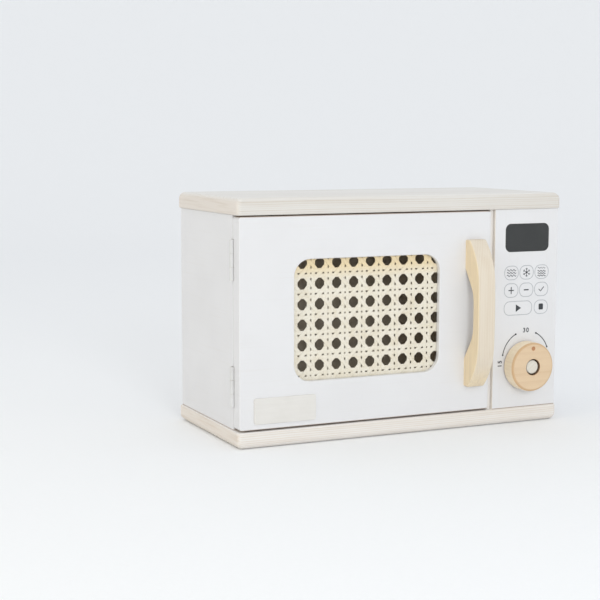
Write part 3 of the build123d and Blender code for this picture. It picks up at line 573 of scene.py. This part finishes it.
def pair_height(run, hand):
    """Lift of a pair's strip after running so many pitches; hand tells the two strips of a pair apart."""
    phase = (run - 0.5) % 1.0 - 0.5
    low_side = math.exp(-(((phase + PAIR_PLACE_SHARE) / CROSSING_REACH) ** 2))
    high_side = math.exp(-(((phase - PAIR_PLACE_SHARE) / CROSSING_REACH) ** 2))
    return hand * CROSSING_LIFT * (high_side - low_side)


print("lift of a pair's strip at one crossing", round(pair_height(PAIR_PLACE_SHARE, 1) / MM, 3), "mm")

# %% A ribbon along a line
SECTION = (
    (-0.5, 0.0), (-0.44, 0.36), (-0.2, 0.5), (0.2, 0.5),
    (0.44, 0.36), (0.5, 0.0), (0.44, -0.5), (-0.44, -0.5),
)


def ribbon(mesh, line, width, sideways):
    """Adds a closed flat strip along (x, z, lift) points. sideways is its width's direction in x and z."""
    rings = []
    for x, z, lift in line:
        ring = []
        for across, out in SECTION:
            y = net_middle_y - lift - out * STRIP_THICKNESS
            aside = across * width
            ring.append(mesh.verts.new((x + aside * sideways[0], y, z + aside * sideways[1])))
        rings.append(ring)
    count = len(SECTION)
    for one, two in zip(rings, rings[1:]):
        for i in range(count):
            mesh.faces.new((one[i], one[(i + 1) % count], two[(i + 1) % count], two[i])).smooth = True
    mesh.faces.new(rings[0][::-1])
    mesh.faces.new(rings[-1])


# %% [markdown]
# ### Laying the strips
# The strips start and end at the sheet's edges, which lie hidden in the door's rebate under the frame
# strip. Upright and level pairs follow the lines between the eyes. A slanted strip keeps x plus z, or z
# minus x, at a whole number and a half when both are counted in pitches. No two strips of a real sheet are
# equal, so each gets a width a few percent from the next, from a fixed sequence that gives the same cane on
# every run.

# %% Upright and level pairs
WIDTH_CHANGE = 0.05
SEQUENCE_STEP = 12.9898


def strip_width(number, usual):
    """The usual width, changed by up to five percent in a fixed sequence."""
    return usual * (1 + WIDTH_CHANGE * math.sin(SEQUENCE_STEP * number))


def grid_lines(low, high, first, pitch):
    """Lines midway between the eyes that lie inside the sheet."""
    start = math.ceil((low - first) / pitch - 0.5)
    end = math.floor((high - first) / pitch - 0.5)
    return [first + (i + 0.5) * pitch for i in range(start, end + 1)]


def steps_between(low, high, step):
    """Evenly spaced values from low to high, no further apart than the step."""
    count = max(2, math.ceil((high - low) / step))
    return [low + (high - low) * i / count for i in range(count + 1)]


weave = bmesh.new()
laid = 0
half_pair = (PINHOLE_SHARE + PAIR_WIDTH_SHARE) / 2
for line_x in grid_lines(net_low.x, net_high.x, FIRST_EYE_X, PITCH_X):
    for hand in (-1, 1):
        x = line_x + hand * half_pair * PITCH_X
        heights = steps_between(net_low.z, net_high.z, PITCH_Z / STEPS_PER_PITCH)
        line = [(x, z, pair_height((z - FIRST_EYE_Z) / PITCH_Z, hand)) for z in heights]
        ribbon(weave, line, strip_width(laid, PAIR_WIDTH_SHARE * PITCH_X), (1, 0))
        laid += 1
for line_z in grid_lines(net_low.z, net_high.z, FIRST_EYE_Z, PITCH_Z):
    for hand in (-1, 1):
        z = line_z + hand * half_pair * PITCH_Z
        places = steps_between(net_low.x, net_high.x, PITCH_X / STEPS_PER_PITCH)
        line = [(x, z, pair_height((x - FIRST_EYE_X) / PITCH_X, hand)) for x in places]
        ribbon(weave, line, strip_width(laid, PAIR_WIDTH_SHARE * PITCH_Z), (0, -1))
        laid += 1
print("upright and level strips", laid)

# %% Slanted strips
FARTHEST_SLANT = 24


def slanted_line(number, slope):
    """One slanted strip's points, cut off at the sheet's edges. slope is 1 rising to the right, or -1."""
    start = (net_low.x - FIRST_EYE_X) / PITCH_X
    end = (net_high.x - FIRST_EYE_X) / PITCH_X
    bottom = (net_low.z - FIRST_EYE_Z) / PITCH_Z
    top = (net_high.z - FIRST_EYE_Z) / PITCH_Z
    offset = number + 0.5
    crossings = sorted(((bottom - offset) / slope, (top - offset) / slope))
    low, high = max(start, crossings[0]), min(end, crossings[1])
    if high - low < EYE_SHARE / 2:
        return []
    points = []
    for run in steps_between(low, high, 1 / STEPS_PER_PITCH):
        rise = slope * run + offset
        lift = slope * SLANT_LIFT * stiff_wave(run)
        points.append((FIRST_EYE_X + run * PITCH_X, FIRST_EYE_Z + rise * PITCH_Z, lift))
    return points


slant_length = math.hypot(PITCH_X, PITCH_Z)
slant_width = SLANT_WIDTH_SHARE * PITCH_X * PITCH_Z / slant_length * math.sqrt(2)
for slope in (-1, 1):
    sideways = (-slope * PITCH_Z / slant_length, PITCH_X / slant_length)
    for number in range(-FARTHEST_SLANT, FARTHEST_SLANT):
        line = slanted_line(number, slope)
        if line:
            ribbon(weave, line, strip_width(laid, slant_width), sideways)
            laid += 1
bmesh.ops.recalc_face_normals(weave, faces=weave.faces)
cane = to_object("woven_cane", weave)
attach(cane, "door")
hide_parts("cane_webbing")
print("strips laid", laid, "slanted", round(slant_width / MM, 2), "mm wide")

# %% [markdown]
# ### The cane's finish
# Cane is the skin of rattan: pale straw, a little glossy, with fine lines along each strip and darker ends
# where the knots were. The strips run four ways, and a noise that is stretched one way would only suit one
# of them, so two fine stretched noises are multiplied, which reads as fibres in either. Under the window's
# upper lip the sheet gets painted shade in a deeper golden tone, along the first row of eyes.

# %% Finish the cane
CANE_PALE = rgb(0.80, 0.75, 0.645)
CANE_DEEP = rgb(0.71, 0.63, 0.48)
# Painted shade under the window's upper lip.
CANE_PAINTED_SHADE = rgb(0.80, 0.64, 0.38)
CANE_DEPTH = 0.05 * MM
window_top = FIRST_EYE_Z + 5.2 * PITCH_Z
lip_shade_start = window_top - 1.0 * PITCH_Z
lip_shade_full = window_top - 0.35 * PITCH_Z
straw = Finish("straw_cane", specular=0.35)
cane_skin = {"squeeze": 0.06, "scale": 1300.0, "detail": 3.0, "roughness": 0.6}
upright_fibres = drawn_noise(straw, "Z", **cane_skin)
level_fibres = drawn_noise(straw, "X", **cane_skin)
fibres = straw.math("MULTIPLY", upright_fibres, level_fibres)
patches = straw.noise(straw.place, scale=90.0, detail=3.0)
fibre_share = straw.between(fibres, 0.16, 0.36, 0.0, 0.45)
patch_share = straw.between(patches, 0.45, 0.75, 0.0, 0.55)
straw_tone = straw.blend(straw.math("ADD", fibre_share, patch_share, clamp=True), CANE_PALE, CANE_DEEP)
# Painted shade: the sheet turns deeper gold toward the window's upper lip.
painted_lip_shade = straw.between(straw.part(straw.place, "Z"), lip_shade_start, lip_shade_full, 0.0, 0.85)
straw.colour(straw.blend(painted_lip_shade, straw_tone, CANE_PAINTED_SHADE))
straw.rough(straw.between(patches, 0.3, 0.7, 0.48, 0.6))
straw.relief((fibres, CANE_DEPTH))
cane.data.materials.append(straw.material)

# %% [markdown]
# ## The handle and other pale woods
# The handle is cut from a straight-grained honey wood with its grain along its length. Its front is pale,
# and its flanks carry painted warm light in a deeper gold, with fine lines along the grain. Its foot gets
# the same gold all round as painted shade. The finish mixes the two tones by the way that the surface faces
# and by the height. The small pegs, dowels and the turntable are plain pale beech without a marked front.
# The slip between the door and the control board is the same wood, limed nearly white.

# %% Finish the handle
HANDLE_PALE = rgb(0.735, 0.65, 0.535)
HANDLE_LINE = rgb(0.635, 0.515, 0.375)
# Painted warm light for the flanks, also used as painted shade on the foot.
HANDLE_FLANK_LIGHT = rgb(0.84, 0.69, 0.465)
FOOT_SHADE_HEIGHT = 20 * MM
HEART_LEFT_OF_HANDLE = 50 * MM
HEART_BEHIND_HANDLE = 30 * MM
handle_low, handle_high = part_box("door_handle")
handle_heart = (handle_low.x - HEART_LEFT_OF_HANDLE, handle_high.y + HEART_BEHIND_HANDLE, 0)
fine_grain = {"ring": 1.9 * MM, "wander": 4 * MM, "depth": 0.45}
honey = wood("honey_handle", "Z", handle_heart, HANDLE_PALE, HANDLE_LINE, **fine_grain)
flank_line = drawn_noise(honey, "Z", squeeze=0.03, scale=500.0)
# Painted light: the flanks turn a warmer, deeper gold.
painted_flank_light = honey.blend(honey.between(flank_line, 0.4, 0.7, 0.0, 0.5), HANDLE_FLANK_LIGHT, HANDLE_LINE)
# Painted shade: the foot takes the same gold, fading out with height.
foot_shade_full = handle_low.z + 0.3 * FOOT_SHADE_HEIGHT
foot_shade_end = handle_low.z + FOOT_SHADE_HEIGHT
painted_foot_shade = honey.between(honey.part(honey.place, "Z"), foot_shade_full, foot_shade_end, 0.7, 0.0)
flank_light_and_foot_shade = honey.math("MAXIMUM", honey.between(honey.squareness("X"), 0.35, 0.95), painted_foot_shade)
honey.colour(honey.blend(flank_light_and_foot_shade, honey.tone, painted_flank_light))
wear(honey, "door_handle")

# %% Finish the pegs, the strips and the turntable
BEECH_PALE = rgb(0.74, 0.70, 0.615)
BEECH_LINE = rgb(0.62, 0.52, 0.40)
SLIP_PALE = rgb(0.84, 0.80, 0.76)
SLIP_LINE = rgb(0.74, 0.68, 0.62)
BEECH_HEART = (0.25, 0, -0.12)
TURNED_HEART = (0, 0.3, -0.2)
SLIP_HEART = (0.2, 0.1, 0)
close_grain = {"ring": 3.0 * MM, "depth": 0.4, "roughness": 0.48}
beech = wood("pale_beech", "Y", BEECH_HEART, BEECH_PALE, BEECH_LINE, **close_grain)
wear(beech, "dial_axle", "cane_retaining_frame", "carcass_dowels")
turned_beech = wood("turned_beech", "X", TURNED_HEART, BEECH_PALE, BEECH_LINE, **close_grain)
wear(turned_beech, "turntable_plate", "turntable_spindle")
limed_beech = wood("limed_beech", "Z", SLIP_HEART, SLIP_PALE, SLIP_LINE, **close_grain)
wear(limed_beech, "divider_slip")

# %% [markdown]
# ## The dial
# The knob is turned from a redder wood and waxed. Its front is orange-tan with fine flecks, its rounded
# front edge carries a darker ring of painted shade, and its rim carries painted light in a paler tone. A
# dimple near the edge is stained red-brown as the pointer, and the well round the axle gets painted shade.
# All of it comes from the way the surface faces and from distances on the dial, so the finish is one
# material, and the stain stays in its dimple when the dial turns.

# %% Finish the dial
DIAL_FACE = rgb(0.73, 0.55, 0.365)
DIAL_FLECK = rgb(0.645, 0.455, 0.285)
# Painted shade for the rounded front edge and painted light for the rim.
DIAL_EDGE_SHADE = rgb(0.60, 0.385, 0.21)
DIAL_RIM_LIGHT = rgb(0.93, 0.80, 0.60)
DIMPLE_STAIN = rgb(0.52, 0.27, 0.14)
WELL_SHADE = rgb(0.22, 0.14, 0.085)
DIMPLE_FROM_AXIS = 15.4 * MM
DIMPLE_RADIUS = 1.8 * MM
DIMPLE_EDGE_SHARES = (0.85, 1.12)
WELL_RADIUS = 6.65 * MM
WELL_EDGE_SHARE = 1.03
EDGE_SHADE_CURVE = ((0.0, 0.0), (0.25, 0.0), (0.6, 1.0), (0.9, 0.75), (0.985, 0.0))
EDGE_SHADE_STRENGTH = 0.9
HEART_BEHIND_DIAL = 100 * MM
HEART_BELOW_DIAL = 50 * MM
dial_heart = (dial_x, face + HEART_BEHIND_DIAL, dial_z - HEART_BELOW_DIAL)
flecked = {"ring": 2.4 * MM, "wander": 5 * MM, "depth": 0.45}
tan = wood("turned_dial_wood", "X", dial_heart, DIAL_FACE, DIAL_FLECK, **flecked)
flat_on = tan.squareness("Y")
rim_fleck = drawn_noise(tan, "Y", squeeze=0.1, scale=700.0)
# Painted light: the rim, which faces sideways, is paler.
painted_rim_light = tan.blend(tan.between(rim_fleck, 0.4, 0.7, 0.0, 0.25), DIAL_RIM_LIGHT, DIAL_FACE)
# Painted shade: a darker ring on the rounded front edge, by facing.
painted_edge_shade = tan.math("MULTIPLY", tan.ramp(flat_on, EDGE_SHADE_CURVE), EDGE_SHADE_STRENGTH)
turned_tone = tan.blend(tan.between(flat_on, 0.2, 0.6), painted_rim_light, tan.tone)
turned_tone = tan.blend(painted_edge_shade, turned_tone, DIAL_EDGE_SHADE)
dimple_middle = (dial_x, knob_low.y, dial_z + DIMPLE_FROM_AXIS)
from_dimple = tan.measure("DISTANCE", tan.place, dimple_middle)
stain_full, stain_end = [DIMPLE_RADIUS * share for share in DIMPLE_EDGE_SHARES]
stain = tan.between(from_dimple, stain_full, stain_end, 1.0, 0.0)
turned_tone = tan.blend(stain, turned_tone, DIMPLE_STAIN)
# Painted shade: inside the well round the axle the wood turns dark.
around = tan.vector("MULTIPLY", tan.vector("SUBTRACT", tan.place, (dial_x, 0, dial_z)), (1, 0, 1))
from_axis = tan.measure("LENGTH", around)
painted_well_shade = tan.between(from_axis, WELL_RADIUS, WELL_RADIUS * WELL_EDGE_SHARE, 1.0, 0.0)
tan.colour(tan.blend(painted_well_shade, turned_tone, WELL_SHADE))
wear(tan, "dial_knob")

# %% [markdown]
# ## The display, the plate, metal and felt
# The small things each need only a short recipe. The display is a dark grey printed plate with a fine matt
# tooth. The plate on the door is bare and beige. The hinges get the case's paint a little darker, as
# painted shade, the screws and magnets are zinc plated, with a fine grain from the tumbling drum, and the
# felt rings are matted wool with a soft sheen.

# %% Finish the display and the plate
SCREEN_GREY = rgb(0.033, 0.035, 0.035)
SCREEN_SMUDGE = rgb(0.038, 0.040, 0.040)
TOOTH_DEPTH = 0.008 * MM
PLATE_BEIGE = rgb(0.745, 0.72, 0.685)
PLATE_DEEP = rgb(0.705, 0.68, 0.64)
PLATE_GRAIN_DEPTH = 0.015 * MM
screen = Finish("display_grey", specular=0.4)
tooth = screen.noise(screen.place, scale=1800.0)
smudge = screen.noise(screen.place, scale=60.0, detail=3.0)
screen.colour(screen.blend(screen.between(smudge, 0.35, 0.7), SCREEN_GREY, SCREEN_SMUDGE))
screen.rough(screen.between(smudge, 0.3, 0.7, 0.38, 0.5))
screen.relief((tooth, TOOTH_DEPTH))
wear(screen, "display_screen")

plate = Finish("beige_plate", specular=0.3)
plate_grain = drawn_noise(plate, "X", squeeze=0.05, scale=900.0, detail=3.0, roughness=0.6)
plate_cloud = plate.noise(plate.place, scale=80.0)
grain_share = plate.between(plate_grain, 0.35, 0.7, 0.0, 0.5)
cloud_share = plate.between(plate_cloud, 0.4, 0.7, 0.0, 0.5)
plate_tone = plate.math("ADD", grain_share, cloud_share)
plate.colour(plate.blend(plate_tone, PLATE_BEIGE, PLATE_DEEP))
plate.rough(plate.between(plate_cloud, 0.3, 0.7, 0.5, 0.62))
plate.relief((plate_grain, PLATE_GRAIN_DEPTH))
wear(plate, "door_plaque")

# %% Finish the hinges, the metal and the felt
ZINC_BRIGHT = rgb(0.66, 0.66, 0.66)
ZINC_DULL = rgb(0.52, 0.52, 0.51)
TUMBLED_DEPTH = 0.01 * MM
WOOL_PALE = rgb(0.66, 0.63, 0.57)
WOOL_DARK = rgb(0.50, 0.47, 0.42)
WOOL_DEPTH = 0.12 * MM
hinge_leaves = [f"{place}_hinge_{side}_leaf" for place in ("upper", "lower") for side in ("case", "door")]
# Painted shade: the hinges get the case's paint a little darker.
wear(paint("paint_hinges", main=HINGE_PAINT_SHADE), *hinge_leaves)

zinc = Finish("zinc_plate", metallic=1.0)
tumbled = zinc.noise(zinc.place, scale=2200.0, detail=3.0)
dulled = zinc.noise(zinc.place, scale=350.0, detail=3.0)
zinc.colour(zinc.blend(zinc.between(dulled, 0.35, 0.7), ZINC_BRIGHT, ZINC_DULL))
zinc.rough(zinc.between(tumbled, 0.3, 0.7, 0.26, 0.42))
zinc.relief((tumbled, TUMBLED_DEPTH))
wear(zinc, "case_leaf_screws", "door_leaf_screws", "back_panel_screws", "handle_screws")
wear(zinc, "upper_hinge_pin", "lower_hinge_pin", "retaining_frame_pins", "dial_washer", "dial_cross_pin")
wear(zinc, "catch_magnets", "door_magnets")

wool = Finish("wool_felt", roughness=0.95, specular=0.1, sheen_weight=0.4)
matted = wool.noise(wool.place, scale=1600.0, detail=5.0, roughness=0.7)
wool.colour(wool.blend(wool.between(matted, 0.35, 0.7), WOOL_PALE, WOOL_DARK))
wool.relief((matted, WOOL_DEPTH))
wear(wool, "dial_felt_ring", "turntable_washer")

# %% [markdown]
# ## Printed marks on the control board
# The buttons are print: thin pale outlines with small signs in a darker grey. An image texture would be the
# usual way, but then the print would stop being sharp, and its files would have to travel with the toy.
# Screen print also has a real thickness, a few hundredths of a millimetre. So each mark is a thin raised
# strip or patch of ink on the board, made from its line by a function. The signs are the everyday ones of
# kitchen devices: waves, a snow crystal, plus, minus, a tick, start and stop. By the dial stand two plain
# numbers.

# %% Strips and patches of ink
INK_HEIGHT = 0.05 * MM
OUTLINE_WIDTH = 0.62 * MM
ink_top = face - INK_HEIGHT
STRIP_CORNERS = ((-1, face), (-1, ink_top), (1, ink_top), (1, face))


def ink_strip(mesh, line, width, closed=False):
    """A raised strip along (x, z) points on the control board, with mitred corners."""
    count = len(line)
    rings = []
    for i, (x, z) in enumerate(line):
        before = line[i - 1] if closed or i else line[0]
        after = line[(i + 1) % count] if closed or i < count - 1 else line[-1]
        way = Vector((after[0] - before[0], after[1] - before[1])).normalized()
        side = Vector((-way.y, way.x)) * width / 2
        corners = [(x + hand * side.x, y, z + hand * side.y) for hand, y in STRIP_CORNERS]
        rings.append([mesh.verts.new(corner) for corner in corners])
    pairs = list(zip(rings, rings[1:])) + ([(rings[-1], rings[0])] if closed else [])
    count = len(STRIP_CORNERS)
    for one, two in pairs:
        for i in range(count):
            mesh.faces.new((one[i], one[(i + 1) % count], two[(i + 1) % count], two[i]))
    if not closed:
        mesh.faces.new(rings[0][::-1])
        mesh.faces.new(rings[-1])


def ink_patch(mesh, line):
    """A filled raised patch inside (x, z) points."""
    back = [mesh.verts.new((x, face, z)) for x, z in line]
    front = [mesh.verts.new((x, ink_top, z)) for x, z in line]
    mesh.faces.new(back)
    mesh.faces.new(front[::-1])
    for i in range(len(line)):
        j = (i + 1) % len(line)
        mesh.faces.new((back[i], back[j], front[j], front[i]))


def rounded_line(x, z, width, height, radius, steps=7):
    """Points round a rectangle with round corners."""
    points = []
    for corner, (sx, sz) in enumerate(((1, 1), (-1, 1), (-1, -1), (1, -1))):
        middle = (x + sx * (width / 2 - radius), z + sz * (height / 2 - radius))
        for step in range(steps + 1):
            angle = math.pi / 2 * (corner + step / steps)
            points.append((middle[0] + radius * math.cos(angle), middle[1] + radius * math.sin(angle)))
    return points


# %% Outlines of the buttons
COLUMNS = [x * MM for x in (97.95, 112.6, 127.3)]
ROWS = [z * MM for z in (124.95, 110.55, 95.75)]
BUTTON = (13.2 * MM, 11.2 * MM, 5.0 * MM)
WIDE_BUTTON = (27.0 * MM, 11.2 * MM, 5.0 * MM)
WIDE_BUTTON_SHIFT = 6.95 * MM
wide_x = COLUMNS[0] + WIDE_BUTTON_SHIFT
buttons = [(x, z, BUTTON) for z in ROWS[:2] for x in COLUMNS]
buttons += [(wide_x, ROWS[2], WIDE_BUTTON), (COLUMNS[2], ROWS[2], BUTTON)]
outlines = bmesh.new()
for x, z, shape in buttons:
    ink_strip(outlines, rounded_line(x, z, *shape), OUTLINE_WIDTH, closed=True)
bmesh.ops.recalc_face_normals(outlines, faces=outlines.faces)
button_outlines = to_object("button_outlines", outlines)

# %% Signs on the buttons
WAVE_CRESTS = 3
WAVE_STEPS = 32
CRYSTAL_ANGLES = (30, 90, 150, 210, 270, 330)
CRYSTAL_REACH = 3.7 * MM
CRYSTAL_WIDTH = 0.48 * MM
FORK_WIDTH = 0.40 * MM
FORK_PLACE_SHARE = 0.6
FORK_LENGTH_SHARE = 0.36
FORK_LEAN = math.radians(45)


def waves(mesh, x, z, rises, length, height, width):
    """Level waves, one above another, at their rises in millimetres from the place."""
    shares = [i / WAVE_STEPS for i in range(WAVE_STEPS + 1)]
    for rise in rises:
        level = z + rise * MM
        swings = [height * math.sin(2 * math.pi * WAVE_CRESTS * share) for share in shares]
        line = [(x + (share - 0.5) * length, level + swing) for share, swing in zip(shares, swings)]
        ink_strip(mesh, line, width)


def crystal(mesh, x, z):
    """Six arms with a small fork on each."""
    for degrees in CRYSTAL_ANGLES:
        angle = math.radians(degrees)
        out = Vector((math.cos(angle), math.sin(angle)))
        fork = Vector((x, z)) + out * CRYSTAL_REACH * FORK_PLACE_SHARE
        ink_strip(mesh, [(x, z), (x + out.x * CRYSTAL_REACH, z + out.y * CRYSTAL_REACH)], CRYSTAL_WIDTH)
        for lean in (-FORK_LEAN, FORK_LEAN):
            tip = Vector((math.cos(angle + lean), math.sin(angle + lean)))
            end = fork + tip * CRYSTAL_REACH * FORK_LENGTH_SHARE
            ink_strip(mesh, [tuple(fork), tuple(end)], FORK_WIDTH)


def spot(x, z, points):
    """Points given in millimetres from a place."""
    return [(x + dx * MM, z + dz * MM) for dx, dz in points]


EVEN_WAVES = {"rises": (-2.2, 0.0, 2.2), "length": 8.8 * MM, "height": 0.64 * MM, "width": 0.5 * MM}
THIN_WAVE = {"rises": (3.2,), "length": 7.2 * MM, "height": 0.45 * MM, "width": 0.36 * MM}
BOLD_WAVES = {"rises": (0.6, -1.3, -3.2), "length": 7.8 * MM, "height": 0.5 * MM, "width": 0.56 * MM}
CRYSTAL_HUB = (1.5 * MM, 1.5 * MM, 0.7 * MM)
PLUS_BARS = (((-2.6, 0), (2.6, 0)), ((0, -2.9), (0, 2.9)))
PLUS_WIDTH = 0.8 * MM
MINUS_BAR = ((-2.3, 0), (2.3, 0))
MINUS_WIDTH = 1.0 * MM
TICK = ((-2.4, 0.1), (-0.7, -1.7), (2.5, 1.9))
TICK_WIDTH = 0.75 * MM
START = ((-2.1, -3.1), (2.9, 0), (-2.1, 3.1))
STOP = (4.3 * MM, 5.0 * MM, 0.8 * MM)
STOP_RISE = 0.2 * MM
SMALL_ROUND_STEPS = 3
signs = bmesh.new()
waves(signs, COLUMNS[0], ROWS[0], **EVEN_WAVES)
crystal(signs, COLUMNS[1], ROWS[0])
ink_patch(signs, rounded_line(COLUMNS[1], ROWS[0], *CRYSTAL_HUB, SMALL_ROUND_STEPS))
waves(signs, COLUMNS[2], ROWS[0], **THIN_WAVE)
waves(signs, COLUMNS[2], ROWS[0], **BOLD_WAVES)
for bar in PLUS_BARS:
    ink_strip(signs, spot(COLUMNS[0], ROWS[1], bar), PLUS_WIDTH)
ink_strip(signs, spot(COLUMNS[1], ROWS[1], MINUS_BAR), MINUS_WIDTH)
ink_strip(signs, spot(COLUMNS[2], ROWS[1], TICK), TICK_WIDTH)
ink_patch(signs, spot(wide_x, ROWS[2], START))
ink_patch(signs, rounded_line(COLUMNS[2], ROWS[2] + STOP_RISE, *STOP, SMALL_ROUND_STEPS))
bmesh.ops.recalc_face_normals(signs, faces=signs.faces)
button_signs = to_object("button_signs", signs)

# %% [markdown]
# ### The dial's arcs and numbers
# Two thin arcs over the dial show which way to turn it, each with a small dot at both ends. The photograph
# shows their common middle a little above the dial's axis, so they have a middle of their own. Two plain
# numbers stand beside them. A text object makes each: it brings its own clean outlines and is turned into a
# mesh, and the two meshes are joined into one piece.

# %% Arcs round the dial
ARC_RADIUS = 22.5 * MM
ARC_MIDDLE = (dial_x + 1.2 * MM, dial_z + 5.8 * MM)
ARC_WIDTH = 0.75 * MM
ARC_STEPS = 24
ARC_SPANS = ((116, 171), (21, 64))
ARC_DOT = 0.75 * MM
ARC_DOT_ROUND = 0.99 * ARC_DOT
ARC_DOT_STEPS = 5


def arc_line(low, high):
    """Points of an arc between two angles in degrees."""
    angles = [math.radians(low + (high - low) * i / ARC_STEPS) for i in range(ARC_STEPS + 1)]
    x, z = ARC_MIDDLE
    return [(x + ARC_RADIUS * math.cos(a), z + ARC_RADIUS * math.sin(a)) for a in angles]


arcs = bmesh.new()
for low, high in ARC_SPANS:
    line = arc_line(low, high)
    ink_strip(arcs, line, ARC_WIDTH)
    for x, z in (line[0], line[-1]):
        ink_patch(arcs, rounded_line(x, z, 2 * ARC_DOT, 2 * ARC_DOT, ARC_DOT_ROUND, ARC_DOT_STEPS))
bmesh.ops.recalc_face_normals(arcs, faces=arcs.faces)
dial_arcs = to_object("dial_arcs", arcs)

# %% Numbers by the dial
NUMBERS = {"15": (88.4 * MM, 50.3 * MM, 90), "30": (dial_x + 1.1 * MM, 76.9 * MM, 0)}
NUMBER_SIZE = 5.2 * MM
NUMBER_WEIGHT = 0.13 * MM
NUMBER_SPACING = 1.25
WELD_DISTANCE = 0.001 * MM


def number_mesh(text, x, z, turn):
    """A number that faces the front, turned by so many degrees, as a mesh in the frame."""
    words = bpy.data.curves.new("number", "FONT")
    words.body = text
    words.size = NUMBER_SIZE
    words.align_x = words.align_y = "CENTER"
    words.extrude = INK_HEIGHT / 2
    words.offset = NUMBER_WEIGHT
    words.space_character = NUMBER_SPACING
    holder = bpy.data.objects.new("number", words)
    mesh = bpy.data.meshes.new_from_object(holder)
    upright = Matrix.Rotation(math.pi / 2, 4, "X") @ Matrix.Rotation(math.radians(turn), 4, "Z")
    mesh.transform(Matrix.Translation((x, face - INK_HEIGHT / 2, z)) @ upright)
    bpy.data.objects.remove(holder)
    return mesh


numbers = bmesh.new()
for text, (x, z, turn) in NUMBERS.items():
    numbers.from_mesh(number_mesh(text, x, z, turn))
bmesh.ops.remove_doubles(numbers, verts=numbers.verts, dist=WELD_DISTANCE)
dial_numbers = to_object("dial_numbers", numbers)

# %% [markdown]
# ### Ink
# Screen ink is matt and nearly even, but seen close it has pinholes, where the white shows, and its
# strength varies a little. Two inks are used: a pale grey for the outlines and a dark grey for all other
# marks.

# %% Finish and seat the print
PALE_INK = rgb(0.44, 0.45, 0.46)
PALE_INK_WEAK = rgb(0.54, 0.55, 0.56)
DARK_INK = rgb(0.042, 0.046, 0.052)
DARK_INK_WEAK = rgb(0.08, 0.085, 0.09)
SPECKLE_DEPTH = 0.01 * MM


def ink(name, strong, weak):
    """Screen ink with pinholes and an uneven pull. strong and weak are its full and its thin tone."""
    finish = Finish(name, specular=0.25)
    speckle = finish.noise(finish.place, scale=2600.0, detail=3.0, roughness=0.6)
    pull = finish.noise(finish.place, scale=240.0)
    pinholes = finish.between(speckle, 0.45, 0.75, 0.0, 0.5)
    tone = finish.math("ADD", pinholes, finish.between(pull, 0.4, 0.7, 0.0, 0.5))
    finish.colour(finish.blend(tone, strong, weak))
    finish.rough(finish.between(speckle, 0.3, 0.7, 0.5, 0.68))
    finish.relief((speckle, SPECKLE_DEPTH))
    return finish


pale_ink = ink("pale_grey_ink", PALE_INK, PALE_INK_WEAK)
dark_ink = ink("dark_grey_ink", DARK_INK, DARK_INK_WEAK)
inked = {button_outlines: pale_ink, button_signs: dark_ink, dial_arcs: dark_ink, dial_numbers: dark_ink}
for piece, finish in inked.items():
    piece.data.materials.append(finish.material)
    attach(piece, "case")
print("inks", pale_ink.material.name, dark_ink.material.name)
